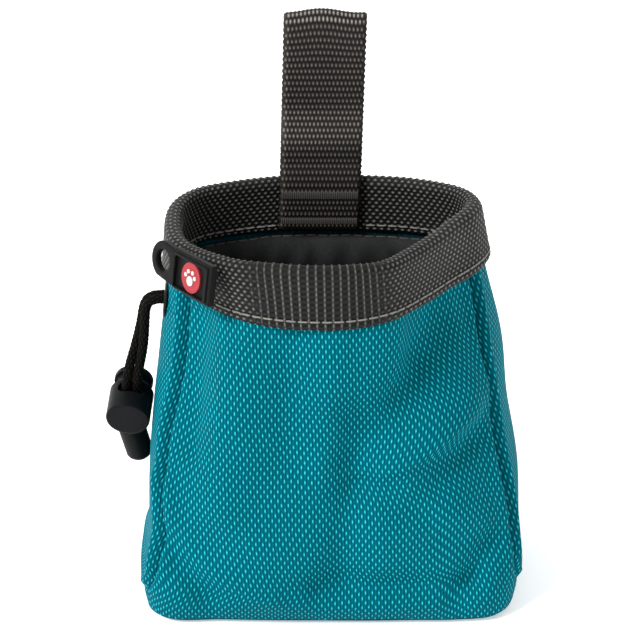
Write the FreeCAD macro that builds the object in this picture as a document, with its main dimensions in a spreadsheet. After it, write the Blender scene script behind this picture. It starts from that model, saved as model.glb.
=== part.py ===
import FreeCAD, Part

import math
import os

import Sketcher
from FreeCAD import Placement, Rotation, Vector

# Treat pouch: a sewn polyester bag with a webbing-bound mouth, a belt loop, a rubber tag and a
# drawstring that leaves through an eyelet into a cord lock and a bell-shaped cord end.
# Millimetres. Origin at the middle of the base, +Z up, -Y towards the pouch's front.

DIMENSIONS = {
    # the bag's outer fabric surface
    "fabric_thick": 1.2,
    "rim_z": 91.0,
    "base_round": 9.0,
    "rim_front_y": -28.9,
    "rim_back_y": 30.0,
    "rim_left_x": -38.0,
    "rim_right_x": 36.0,
    "base_front_y": -33.3,
    "base_back_y": 33.3,
    "base_side_x": 47.5,
    # seams between the side gussets and the strip that makes front, base and back
    "gusset_bottom_z": 9.0,
    "gusset_corner": 8.0,
    "seam_front_rim_left_y": -14.5,
    "seam_front_rim_right_y": 3.0,
    "seam_front_base_y": -26.0,
    "seam_back_rim_y": 20.0,
    "seam_back_base_y": 24.0,
    "seam_tape_wide": 4.5,
    "seam_tape_thick": 1.6,
    # webbing folded over the mouth's edge
    "webbing_thick": 1.4,
    "binding_top_z": 92.5,
    "binding_drop": 14.5,
    "stitch_rise": 2.2,
    "stitch_long": 2.3,
    "stitch_gap": 1.1,
    "thread_thick": 0.5,
    # tunnel tape for the drawstring, on the inside
    "tunnel_z": 71.0,
    "tunnel_tall": 13.0,
    "tunnel_deep": 3.7,
    "tape_thick": 0.5,
    # belt loop webbing
    "loop_x": -1.6,
    "loop_wide": 20.0,
    "loop_top_z": 135.5,
    "loop_depth": 7.8,
    "loop_neck": 3.3,
    "loop_flare": 7.5,
    "hinge_y": 29.4,
    "hinge_z": 97.0,
    "hinge_gap": 0.75,
    "tail_inside_z": 79.0,
    "tail_outside_z": 80.5,
    # drawstring, two ends side by side in the lock
    "cord_across": 2.4,
    "cord_apart": 2.6,
    "tunnel_turn": 2.4,
    # eyelet in the left gusset
    "eyelet_flange": 11.0,
    "eyelet_bore": 5.6,
    "eyelet_neck": 7.0,
    "flange_thick": 0.8,
    # cord lock
    "barrel_across": 10.8,
    "barrel_long": 9.8,
    "barrel_bore": 8.2,
    "barrel_floor": 1.0,
    "barrel_edge": 1.1,
    "slot_wide": 6.8,
    "slot_long": 3.5,
    "slot_from_end": 6.4,
    "plunger_across": 8.06,
    "plunger_start": 4.15,
    "plunger_slot_start": 4.95,
    "plunger_slot_long": 4.85,
    "plunger_slot_wide": 6.8,
    "head_across": 9.6,
    "head_thick": 1.6,
    "lock_long": 13.8,
    "spring_across": 5.6,
    "spring_wire": 0.35,
    "spring_turns": 2.0,
    # bell-shaped cord end
    "bell_long": 11.0,
    "bell_top_across": 6.8,
    "bell_low_across": 6.5,
    "bell_bore": 5.1,
    "bell_room": 5.7,
    "bell_deep": 9.4,
    "bell_round": 1.6,
    "knot_across": 5.4,
    "knot_tall": 3.4,
    "knot_start": 4.9,
    # rubber tag
    "tag_long": 15.0,
    "tag_tall": 9.7,
    "tag_thick": 2.0,
    "tag_field": 0.9,
    "tag_frame": 1.5,
    "tag_groove": 0.9,
    "ring_across": 9.2,
    "ring_hole": 5.2,
    "ring_thick": 1.7,
    "ring_offset": 4.9,
    "emblem_across": 7.2,
    "emblem_thick": 0.5,
}

# Corners of the rim and base outlines between the driving extents: share across, place in depth,
# corner radius. They run from the front left corner, round the left side and back to the front.
RIM_FRONT_LEFT_X, RIM_FRONT_RIGHT_X = -22.0, 13.6
RIM_BACK_LEFT = (-35.2, 20.5)
RIM_BACK_RIGHT = (35.3, 19.5)
RIM_FLAT_BACK = (-20.5, 18.5)
RIM_SIDE_Y = (-9.0, 11.5)
RIM_RADII = (14, 14, 14, 30, 30, 8, 10, 10)
BASE_FRONT_X = 43.0
BASE_BACK = (40.0, 31.0)
BASE_FLAT_BACK = 20.0
BASE_SIDE_Y = -6.0
BASE_RADII = (12, 40, 12, 60, 60, 12, 40, 12)

# Directions and places of the hanging pieces.
LOCK_CENTRE = Vector(-48.6, 1.5, 44.4)
LOCK_CORD = Vector(0.10, -0.40, 0.91)
LOCK_AXIS = Vector(-0.07, -0.91, -0.41)
BELL_TOP = Vector(-49.2, 5.3, 36.3)
BELL_BOTTOM = Vector(-46.9, 8.8, 25.1)
EYELET = Vector(-39.03, 4.0, 71.0)
EYELET_AXIS = Vector(-0.986, -0.02, 0.104)
EYELET_HOLE_LONG = 12
TAG_CENTRE = Vector(-30.32, -22.26, 87.5)
TAG_ALONG = Vector(0.609, -0.793, 0)
TAG_LEAN = 8.0

# The two free ends of the drawstring, side by side: control points from the eyelet to the knot in
# the bell. The rear one at the eyelet lies on the left in the lock.
LEFT_END = [
    (-40.3, 5.3, 71.0), (-43.0, 5.3, 71.0), (-44.9, 5.0, 69.0), (-45.6, 3.9, 64.4), (-46.9, 1.7, 59.6),
    (-48.82, -2.55, 53.84), (-49.62, 0.65, 46.55), (-50.40, 3.77, 39.45),
    (-50.18, 5.79, 34.97), (-49.47, 6.88, 31.51),
]
RIGHT_END = [
    (-40.3, 2.7, 71.0), (-42.7, 2.7, 71.0), (-44.4, 2.4, 69.2), (-44.6, 1.3, 64.5), (-45.0, -0.3, 59.4),
    (-46.34, -2.61, 53.54), (-47.14, 0.59, 46.26), (-47.92, 3.71, 39.15),
    (-47.79, 5.51, 35.35), (-47.08, 6.59, 31.89),
]

NODES = []


def make_sheet(doc):
    """Puts the driving dimensions in a spreadsheet, one alias per row."""
    sheet = doc.addObject("Spreadsheet::Sheet", "dims")
    for row, (alias, value) in enumerate(DIMENSIONS.items(), start=1):
        sheet.set(f"A{row}", alias)
        sheet.set(f"B{row}", str(value))
        sheet.setAlias(f"B{row}", alias)
    doc.recompute()
    return sheet


def size(alias):
    """A driving dimension, read from the spreadsheet."""
    return float(getattr(sheet, alias))


# ---------------------------------------------------------------- outlines of the soft bag


def rim_outline():
    """Corner points and radii of the bag's outer surface at the rim."""
    front = size("rim_front_y")
    back = size("rim_back_y")
    points = [
        (RIM_FRONT_LEFT_X, front), (size("rim_left_x"), RIM_SIDE_Y[0]), RIM_BACK_LEFT,
        (RIM_FLAT_BACK[0], back), (RIM_FLAT_BACK[1], back), RIM_BACK_RIGHT,
        (size("rim_right_x"), RIM_SIDE_Y[1]), (RIM_FRONT_RIGHT_X, front),
    ]
    return points, RIM_RADII


def base_outline():
    """Corner points and radii of the bag's outer surface where it is widest."""
    side = size("base_side_x")
    front = size("base_front_y")
    back = size("base_back_y")
    points = [
        (-BASE_FRONT_X, front), (-side, BASE_SIDE_Y), (-BASE_BACK[0], BASE_BACK[1]),
        (-BASE_FLAT_BACK, back), (BASE_FLAT_BACK, back), BASE_BACK,
        (side, BASE_SIDE_Y), (BASE_FRONT_X, front),
    ]
    return points, BASE_RADII


def inset_corner(before, corner, after, distance):
    """Moves a corner of a clockwise outline inwards by distance from both of its edges."""
    first = Vector(corner[0] - before[0], corner[1] - before[1], 0).normalize()
    second = Vector(after[0] - corner[0], after[1] - corner[1], 0).normalize()
    inward_first = Vector(first.y, -first.x, 0)
    inward_second = Vector(second.y, -second.x, 0)
    middle = inward_first + inward_second
    middle = middle * (distance * 2 / middle.Length ** 2)
    return corner[0] + middle.x, corner[1] + middle.y


def outline_corners(z, distance):
    """Corners and radii of the bag's outline at height z, distance outside its fabric."""
    low, high = base_outline(), rim_outline()
    base_round = size("base_round")
    share = (z - base_round) / (size("rim_z") - base_round)
    if z < base_round:
        share = 0.0
        distance -= base_round - math.sqrt(max(base_round ** 2 - (base_round - z) ** 2, 0.0))
    corners = []
    radii = []
    for k in range(8):
        corners.append(tuple(low[0][k][i] * (1 - share) + high[0][k][i] * share for i in (0, 1)))
        radii.append(low[1][k] * (1 - share) + high[1][k] * share + distance)
    moved = [inset_corner(corners[k - 1], corners[k], corners[(k + 1) % 8], -distance) for k in range(8)]
    return [Vector(x, y, z) for x, y in moved], radii


def outline(z, distance):
    """The bag's outline at height z, distance outside its fabric, as a wire of lines and arcs."""
    return rounded_wire(*outline_corners(z, distance))


def arc_at(before, corner, after, radius):
    """The two tangent points and the middle of the arc of this radius that rounds a corner."""
    back = (before - corner).normalize()
    ahead = (after - corner).normalize()
    half = back.getAngle(ahead) / 2
    reach = radius / math.tan(half)
    centre = corner + (back + ahead).normalize() * (radius / math.sin(half))
    middle = centre + (corner - centre).normalize() * radius
    return corner + back * reach, middle, corner + ahead * reach


def rounded_wire(corners, radii):
    """A closed wire of straight edges with an arc at each corner."""
    count = len(corners)
    arcs = [arc_at(corners[k - 1], corners[k], corners[(k + 1) % count], radii[k]) for k in range(count)]
    edges = []
    for k, (start, middle, end) in enumerate(arcs):
        edges.append(Part.Arc(start, middle, end).toShape())
        edges.append(Part.LineSegment(end, arcs[(k + 1) % count][0]).toShape())
    return Part.Wire(edges)


def bag_volume(distance, heights):
    """The solid inside the bag's surface moved out by distance, between the given heights."""
    return Part.makeLoft([outline(z, distance) for z in heights], True, True)


# ---------------------------------------------------------------- document helpers


def add_node(obj, label):
    """Names a finished sub-part and lists it for export."""
    obj.Label = label
    NODES.append(obj)
    return obj


def feature(name, shape, placement=None):
    """A Part::Feature that holds a shape built by Part's own functions."""
    obj = doc.addObject("Part::Feature", name)
    obj.Shape = shape
    if placement:
        obj.Placement = placement
    return obj


def boolean(kind, name, base, tool):
    """A Part::Cut or Part::Common of two objects of the document."""
    obj = doc.addObject(kind, name)
    obj.Base = base
    obj.Tool = tool
    return obj


def new_body(name, placement=None):
    body = doc.addObject("PartDesign::Body", name)
    if placement:
        body.Placement = placement
    return body


def sketch_on(body, plane, name, edges, bindings=()):
    """A sketch of a closed profile on one of the body's origin planes.

    edges are Part geometry in the sketch's own X and Y. Each binding is (constraint, refs, formula), and
    the formula ties its value to dims cells; it is None for a constraint that has no value."""
    sketch = body.newObject("Sketcher::SketchObject", name)
    role = [f for f in body.Origin.OriginFeatures if f.Role == plane][0]
    sketch.AttachmentSupport = (role, "")
    sketch.MapMode = "FlatFace"
    for edge in edges:
        sketch.addGeometry(edge, False)
    for kind, refs, formula in bindings:
        if formula is None:
            sketch.addConstraint(Sketcher.Constraint(kind, *refs))
            continue
        value = float(sheet_value(formula))
        index = sketch.addConstraint(Sketcher.Constraint(kind, *refs, value))
        sketch.setExpression(f"Constraints[{index}]", formula)
    return sketch


def sheet_value(formula):
    """The number that a formula in dims cells gives."""
    probe = sheet.evalExpression(formula)
    return getattr(probe, "Value", probe)


def polygon(points):
    """Line segments that close a list of (x, y) points; segment k ends at point k."""
    corners = [Vector(x, y, 0) for x, y in points]
    return [Part.LineSegment(corners[k - 1], corners[k]) for k in range(len(corners))]


def bound_polygon(body, plane, name, profile):
    """A closed polygon in a sketch whose corners are (x, y) formulas in dims cells."""
    points = [tuple(float(sheet_value(formula)) for formula in corner) for corner in profile]
    count = len(profile)
    joins = [("Coincident", (k, 2, (k + 1) % count, 1), None) for k in range(count)]
    places = []
    for k, corner in enumerate(profile):
        for kind, axis, formula in zip(("DistanceX", "DistanceY"), (-2, -1), corner):
            if formula == "0":
                places.append(("PointOnObject", (k, 2, axis), None))
            else:
                places.append((kind, (-1, 1, k, 2), formula))
    return sketch_on(body, plane, name, polygon(points), joins + places)


def spin(body, name, profile):
    """Revolves a closed profile, given as (radius, height) formulas, about the body's Z axis."""
    sketch = bound_polygon(body, "XZ_Plane", name + "_profile", profile)
    turned = body.newObject("PartDesign::Revolution", name)
    turned.Profile = sketch
    turned.ReferenceAxis = (sketch, ["V_Axis"])
    turned.Angle = 360
    return turned


def frame_along(origin, along, towards):
    """The placement whose Z runs along one direction and whose X leans towards another."""
    z_axis = Vector(along).normalize()
    x_axis = (towards - z_axis * towards.dot(z_axis)).normalize()
    return Placement(origin, Rotation(x_axis, z_axis.cross(x_axis), z_axis, "ZXY"))


def tube(points, across, name, fixed_radii=None):
    """A round cord along straight runs joined by tangent arcs; prints its radii and volume test."""
    route = [Vector(*p) for p in points]
    edges = []
    radii = []
    last = route[0]
    for k, (before, corner, after) in enumerate(zip(route, route[1:], route[2:])):
        turn = math.pi - (before - corner).getAngle(after - corner)
        if turn < math.radians(1):
            continue
        shorter = min((before - corner).Length, (after - corner).Length)
        radius = fixed_radii[k] if fixed_radii else 0.45 * shorter / math.tan(turn / 2)
        start, middle, end = arc_at(before, corner, after, radius)
        edges.append(Part.LineSegment(last, start).toShape())
        edges.append(Part.Arc(start, middle, end).toShape())
        radii.append(round(radius, 1))
        last = end
    edges.append(Part.LineSegment(last, route[-1]).toShape())
    path = Part.Wire(edges)
    circle = Part.Wire(Part.makeCircle(across / 2, route[0], route[1] - route[0]))
    solid = path.makePipeShell([circle], True, False)
    expected = math.pi * across ** 2 / 4 * path.Length
    print(f"{name}: length {path.Length:.1f}, radii {radii}, volume share {solid.Volume / expected:.4f}")
    return solid


# ---------------------------------------------------------------- the sewn bag


def seam_wire(seam_front_rim_y):
    """A gusset's outline seen from the side: four corners, the bottom two rounded."""
    low = size("gusset_bottom_z")
    high = size("rim_z") + 5
    rise = size("rim_z") - size("base_round")

    def seam_y(rim_y, base_y, z):
        return base_y + (rim_y - base_y) * (z - size("base_round")) / rise

    front, back = size("seam_front_base_y"), size("seam_back_base_y")
    corners = [
        Vector(0, front, low), Vector(0, seam_y(seam_front_rim_y, front, high), high),
        Vector(0, seam_y(size("seam_back_rim_y"), back, high), high), Vector(0, back, low),
    ]
    corner = size("gusset_corner")
    start_left, middle_left, end_left = arc_at(corners[3], corners[0], corners[1], corner)
    start_right, middle_right, end_right = arc_at(corners[2], corners[3], corners[0], corner)
    return Part.Wire([
        Part.Arc(start_left, middle_left, end_left).toShape(),
        Part.LineSegment(end_left, corners[1]).toShape(),
        Part.LineSegment(corners[1], corners[2]).toShape(),
        Part.LineSegment(corners[2], start_right).toShape(),
        Part.Arc(start_right, middle_right, end_right).toShape(),
        Part.LineSegment(end_right, start_left).toShape(),
    ])


def gusset_block(name, seam_front_rim_y, side):
    """The block that a gusset is cut from the bag with."""
    reach = Vector(side * (size("base_side_x") + 10), 0, 0)
    return feature(name, Part.Face(seam_wire(seam_front_rim_y)).extrude(reach))


def make_seam_bindings(inside):
    """Tapes folded over the seam allowances, which stand inwards along each gusset's seam."""
    thick, tape = size("fabric_thick"), size("seam_tape_thick")
    inset = thick + size("seam_tape_wide")
    top = size("tunnel_z") - size("tunnel_tall") / 2 - 0.5
    rounded = size("base_round")
    room = bag_volume(-inset, [inset, rounded, top + 5])
    wall = slab(inside, thick, top).cut(room)
    for name, rim_y, side in (
        ("left_seam_binding", size("seam_front_rim_left_y"), -1),
        ("right_seam_binding", size("seam_front_rim_right_y"), 1),
    ):
        wire = seam_wire(rim_y)
        grown = Part.Face(wire.makeOffset2D(tape / 2))
        shrunk = Part.Face(wire.makeOffset2D(-tape / 2))
        reach = Vector(side * (size("base_side_x") + 10), 0, 0)
        ribbon = grown.cut(shrunk).extrude(reach)
        add_node(feature(name + "_tape", ribbon.common(wall)), name)


def slab(solid, low, high):
    """The part of a solid between two heights."""
    return solid.common(Part.makeBox(200, 200, high - low, Vector(-100, -100, low)))


def make_bag():
    """The shell of the bag, split at its seams into two gussets and the front, base and back strip."""
    thick = size("fabric_thick")
    base_round = size("base_round")
    rim = size("rim_z")
    levels = [0.0, base_round * 0.12, base_round * 0.45, base_round, rim]
    outer = feature("bag_outer", bag_volume(0.0, levels))
    inner = feature("bag_inner", bag_volume(-thick, [thick] + levels[2:4] + [rim + thick]))
    shell = boolean("Part::Cut", "bag_shell", outer, inner)
    left_block = gusset_block("left_block", size("seam_front_rim_left_y"), -1)
    right_block = gusset_block("right_block", size("seam_front_rim_right_y"), 1)
    both = doc.addObject("Part::MultiFuse", "gusset_blocks")
    both.Shapes = [left_block, right_block]
    add_node(boolean("Part::Cut", "strip", shell, both), "front_base_back_panel")
    add_node(boolean("Part::Common", "right_side", shell, right_block), "right_gusset")
    plain_left = boolean("Part::Common", "left_side", shell, left_block)
    hole = doc.addObject("Part::Cylinder", "eyelet_hole")
    hole.setExpression("Radius", "dims.eyelet_neck / 2")
    hole.Height = EYELET_HOLE_LONG
    hole_start = EYELET - EYELET_AXIS * (EYELET_HOLE_LONG / 2)
    hole.Placement = frame_along(hole_start, EYELET_AXIS, Vector(0, 1, 0))
    add_node(boolean("Part::Cut", "left_side_pierced", plain_left, hole), "left_gusset")
    return shell, inner.Shape


def make_binding(shell):
    """Webbing folded over the mouth's edge, inside and outside, with a rounded fold at the top."""
    web, thick = size("webbing_thick"), size("fabric_thick")
    top = size("binding_top_z")
    low = top - size("binding_drop")
    fold = web * 0.7
    levels = [(low, 0.0), (top - fold, 0.0), (top, fold)]
    outer = Part.makeLoft([outline(z, web - turn) for z, turn in levels], True, True)
    inner = Part.makeLoft([outline(z, turn - web - thick) for z, turn in levels], True, True)
    ring = feature("binding_ring", outer.cut(inner))
    add_node(boolean("Part::Cut", "binding", ring, shell), "rim_binding")


def walk_outline(z, distance, step):
    """Points and directions at even steps along the bag's outline at height z."""
    wire = outline(z, distance)
    count = int(wire.Length / step)
    points = wire.discretize(Number=count + 1)
    return [(p, (q - p).normalize()) for p, q in zip(points, points[1:])]


def stitch_row(z, distance):
    """One row of separate stitches round the bag at height z."""
    row = []
    thread = size("thread_thick")
    for point, along in walk_outline(z, distance, size("stitch_long") + size("stitch_gap")):
        row.append(Part.makeCylinder(thread / 2, size("stitch_long"), point, along))
    return row


def make_stitches():
    """The seam that holds the binding, outside and inside, left open behind the belt loop's ends."""
    web, thick = size("webbing_thick"), size("fabric_thick")
    low = size("binding_top_z") - size("binding_drop") + size("stitch_rise")
    outside = stitch_row(low, web)
    inside = stitch_row(low, -web - thick)
    hinge_y = size("hinge_y")
    half = size("loop_wide") / 2 + size("stitch_long")
    loop_x = size("loop_x")

    def clear_of_loop(stitch):
        centre = stitch.CenterOfMass
        return centre.y < hinge_y - 5 or abs(centre.x - loop_x) > half

    kept = [s for s in outside + inside if clear_of_loop(s)]
    add_node(feature("binding_seam", Part.makeCompound(kept)), "rim_binding_stitches")


def make_tunnel(inside):
    """A tape sewn inside, below the binding, that leaves a tunnel for the drawstring."""
    deep, tape = size("fabric_thick") + size("tunnel_deep"), size("tape_thick")
    low = size("tunnel_z") - size("tunnel_tall") / 2
    high = low + size("tunnel_tall")
    whole = slab(inside, low, high).cut(bag_volume(-deep - tape, [low - 1, high + 1]))
    hollow = slab(inside, low + tape, high - tape).cut(bag_volume(-deep, [low - 1, high + 1]))
    add_node(feature("tunnel", whole.cut(hollow)), "drawstring_tunnel_tape")


# ---------------------------------------------------------------- belt loop


def make_belt_loop():
    """The part of the webbing above the rim: a flattened tube that a belt goes through."""
    web, top = size("webbing_thick"), size("loop_top_z")
    hinge = Vector(0, size("hinge_y"), size("hinge_z"))
    half = size("loop_depth") / 2
    neck = size("loop_neck") / 2
    shoulder = hinge.z + size("loop_flare")
    crown = top - half

    def side(sign, inset):
        return [
            Vector(0, hinge.y + sign * (neck - inset), hinge.z + inset * 0.8),
            Vector(0, hinge.y + sign * (half - inset), shoulder),
            Vector(0, hinge.y + sign * (half - inset), crown),
        ]

    def ring(inset, bottom):
        front, back = side(-1, inset), side(1, inset)
        return Part.Wire([
            Part.LineSegment(front[0], front[1]).toShape(),
            Part.LineSegment(front[1], front[2]).toShape(),
            Part.Arc(front[2], Vector(0, hinge.y, crown + half - inset), back[2]).toShape(),
            Part.LineSegment(back[2], back[1]).toShape(),
            Part.LineSegment(back[1], back[0]).toShape(),
            Part.Arc(back[0], bottom, front[0]).toShape(),
        ])

    outer = Part.Face(ring(0.0, Vector(0, hinge.y, hinge.z - neck)))
    opening_low = hinge.z + 2.4
    front, back = side(-1, web), side(1, web)
    opening = Part.Wire([
        Part.LineSegment(Vector(0, hinge.y, opening_low), front[1]).toShape(),
        Part.LineSegment(front[1], front[2]).toShape(),
        Part.Arc(front[2], Vector(0, hinge.y, crown + half - web), back[2]).toShape(),
        Part.LineSegment(back[2], back[1]).toShape(),
        Part.LineSegment(back[1], Vector(0, hinge.y, opening_low)).toShape(),
    ])
    profile = outer.cut(Part.Face(opening))
    loop = profile.extrude(Vector(size("loop_wide"), 0, 0)).Solids[0]
    start = Vector(size("loop_x") - size("loop_wide") / 2, 0, 0)
    add_node(feature("loop", loop, Placement(start, Rotation())), "belt_loop")


def make_loop_tails():
    """The webbing's two ends, sewn to the inside and the outside of the rim, joined above it."""
    web, thick = size("webbing_thick"), size("fabric_thick")
    rim, base_round = size("rim_z"), size("base_round")
    slope = (size("base_back_y") - size("rim_back_y")) / (rim - base_round)
    top = size("binding_top_z")
    hinge_y, hinge_z = size("hinge_y"), size("hinge_z")
    clear = size("loop_neck") / 2 + size("hinge_gap")
    tip = hinge_z - clear

    def wall(z, distance):
        return size("rim_back_y") + slope * (rim - z) + distance

    gap = 0.02
    low_out, low_in = size("tail_outside_z"), size("tail_inside_z")
    near_in = -web - thick - gap
    points = [
        (wall(low_out, web + gap), low_out), (wall(low_out, 2 * web + gap), low_out),
        (wall(top, 2 * web + gap), top + 0.3), (hinge_y + 1.0, tip), (hinge_y - 1.0, tip),
        (wall(top, near_in - web), top + 0.3), (wall(low_in, near_in - web), low_in),
        (wall(low_in, near_in), low_in), (wall(top, near_in), top + gap), (wall(top, web + gap), top + gap),
    ]
    corners = [Vector(0, y, z) for y, z in points]
    face = Part.Face(Part.makePolygon(corners + corners[:1]))
    solid = face.extrude(Vector(size("loop_wide"), 0, 0))
    start = Vector(size("loop_x") - size("loop_wide") / 2, 0, 0)
    add_node(feature("tails", solid, Placement(start, Rotation())), "belt_loop_tails")


def make_loop_stitches():
    """Bar tacks across both tails, and a second row lower down."""
    web, thick = size("webbing_thick"), size("fabric_thick")
    half = size("loop_wide") / 2 - 1.5
    stitches = []
    slope = (size("base_back_y") - size("rim_back_y")) / (size("rim_z") - size("base_round"))
    for z in (82.0, 83.2, 88.6, 89.8):
        for distance in (2 * web + 0.02, -2 * web - thick - 0.02):
            y = size("rim_back_y") + slope * (size("rim_z") - z) + distance
            x = size("loop_x") - half
            while x < size("loop_x") + half - 0.9:
                start = Vector(x, y, z)
                stitches.append(Part.makeCylinder(size("thread_thick") / 2, 0.9, start, Vector(1, 0, 0)))
                x += 1.3
    add_node(feature("bar_tacks", Part.makeCompound(stitches)), "belt_loop_stitches")


# ---------------------------------------------------------------- rubber tag


def tag_placement():
    """The tag's frame: X along the binding, Y up, Z out of the pouch."""
    along = Vector(TAG_ALONG).normalize()
    up = Vector(0, 0, 1)
    out = along.cross(up)
    lean = Rotation(along, -TAG_LEAN)
    return Placement(TAG_CENTRE, lean * Rotation(along, up, out, "ZXY"))


def make_tag():
    """A moulded plate with a raised frame and a ring that stands off its left end."""
    body = new_body("tag", tag_placement())
    half_long = size("tag_long") / 2
    long, tall = "dims.tag_long / 2", "dims.tag_tall / 2"
    plate = bound_polygon(body, "XY_Plane", "plate_outline", [
        ("-" + long, "-" + tall), (long, "-" + tall), (long, tall), ("-" + long, tall)])
    pad = body.newObject("PartDesign::Pad", "plate")
    pad.Profile = plate
    pad.setExpression("Length", "dims.tag_thick")
    ring_x = -half_long - size("ring_offset") + 0.6
    ring_y = 0.3
    ring = sketch_on(body, "XY_Plane", "ring_outline", ring_edges(ring_x, ring_y, -half_long + 0.5))
    ring_pad = body.newObject("PartDesign::Pad", "ring")
    ring_pad.Profile = ring
    ring_pad.setExpression("Length", "dims.ring_thick")
    left, low = f"-{long} + dims.tag_groove", f"-{tall} + 0.7"
    right, high = long + " - dims.tag_frame", tall + " - dims.tag_frame"
    field = bound_polygon(body, "XY_Plane", "field_outline", [
        (left, low), (right, low), (right, high), (left, high)])
    recess = body.newObject("PartDesign::Pocket", "field")
    recess.Profile = field
    recess.Reversed = True
    field.AttachmentOffset = Placement(Vector(0, 0, size("tag_thick") - size("tag_field")), Rotation())
    recess.Length = size("tag_thick")
    doc.recompute()
    hole = sketch_on(body, "XY_Plane", "ring_hole_outline", [
        Part.Circle(Vector(ring_x, ring_y, 0), Vector(0, 0, 1), size("ring_hole") / 2)],
        [("Diameter", (0,), "dims.ring_hole")])
    bore = body.newObject("PartDesign::Pocket", "ring_hole")
    bore.Profile = hole
    bore.Type = "ThroughAll"
    bore.Midplane = True
    add_node(body, "rubber_tag")


def ring_edges(centre_x, centre_y, join_x):
    """The ring's outline: most of a circle, with two lines that run on into the plate."""
    radius = size("ring_across") / 2
    low = -size("tag_tall") / 2
    top_start = Vector(centre_x, centre_y + radius, 0)
    top_end = Vector(join_x, centre_y + radius, 0)
    foot = Vector(join_x, low + 0.3, 0)
    lean = math.radians(235)
    tangent = Vector(centre_x + radius * math.cos(lean), centre_y + radius * math.sin(lean), 0)
    far = Vector(centre_x - radius, centre_y, 0)
    return [
        Part.Arc(top_start, far, tangent),
        Part.LineSegment(tangent, foot),
        Part.LineSegment(foot, top_end),
        Part.LineSegment(top_end, top_start),
    ]


def make_emblem():
    """A round coloured inlay in the field with a raised paw print on it."""
    place = tag_placement()
    across, thick = size("emblem_across"), size("emblem_thick")
    centre = Vector(-0.35, -0.3, 0)
    floor = size("tag_thick") - size("tag_field")
    body = new_body("emblem_body", place.multiply(Placement(centre + Vector(0, 0, floor), Rotation())))
    edge = Part.Circle(Vector(0, 0, 0), Vector(0, 0, 1), across / 2)
    disc = sketch_on(body, "XY_Plane", "emblem_outline", [edge], [("Diameter", (0,), "dims.emblem_across")])
    pad = body.newObject("PartDesign::Pad", "emblem_disc")
    pad.Profile = disc
    pad.setExpression("Length", "dims.emblem_thick")
    add_node(body, "tag_emblem")
    pieces = [Part.makeCylinder(1.15, 0.25, Vector(0, -0.75, 0))]
    for angle in (28, 66, 114, 152):
        toe = Vector(2.0 * math.cos(math.radians(angle)), -0.75 + 2.35 * math.sin(math.radians(angle)), 0)
        pieces.append(Part.makeCylinder(0.5, 0.25, toe))
    lift = Placement(centre + Vector(0, 0, floor + thick), Rotation())
    add_node(feature("paw", Part.makeCompound(pieces), place.multiply(lift)), "tag_paw_print")


# ---------------------------------------------------------------- eyelet, cord lock and bell


def make_eyelet():
    """A plastic eyelet: a flange and neck outside, a washer on the inside."""
    middle = EYELET - EYELET_AXIS * (size("fabric_thick") / 2)
    place = frame_along(middle, EYELET_AXIS, Vector(0, 1, 0))
    bore, neck, flange = "dims.eyelet_bore / 2", "dims.eyelet_neck / 2", "dims.eyelet_flange / 2"
    face = "dims.fabric_thick / 2 + 0.12"
    outside = new_body("eyelet_body", place)
    spin(outside, "eyelet_turned", [
        (bore, "-dims.fabric_thick / 2 - 0.12 - dims.flange_thick * 0.6"),
        (neck + " - 0.03", "-dims.fabric_thick / 2 - 0.12 - dims.flange_thick * 0.6"),
        (neck + " - 0.03", face), (flange, face), (flange, face + " + dims.flange_thick * 0.3"),
        (flange + " - 0.5", face + " + dims.flange_thick * 0.75"),
        (neck, face + " + dims.flange_thick"),
        (bore, face + " + dims.flange_thick * 0.8"),
    ])
    add_node(outside, "eyelet")
    inside = new_body("washer_body", place)
    high = "-dims.fabric_thick / 2 - 0.12"
    low = high + " - dims.flange_thick * 0.55"
    spin(inside, "washer_turned", [
        (neck + " + 0.02", low), (flange + " - 1.4", low), (flange + " - 1.4", high), (neck + " + 0.02", high),
    ])
    add_node(inside, "eyelet_washer")


def lock_placement():
    """The lock's frame: origin at the closed end, Z towards the plunger head, Y along the cords."""
    axis = Vector(LOCK_AXIS).normalize()
    cord = Vector(LOCK_CORD).normalize()
    axis = (axis - cord * axis.dot(cord)).normalize()
    origin = LOCK_CENTRE + axis * size("slot_from_end")
    return frame_along(origin, axis * -1, cord.cross(axis * -1))


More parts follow.
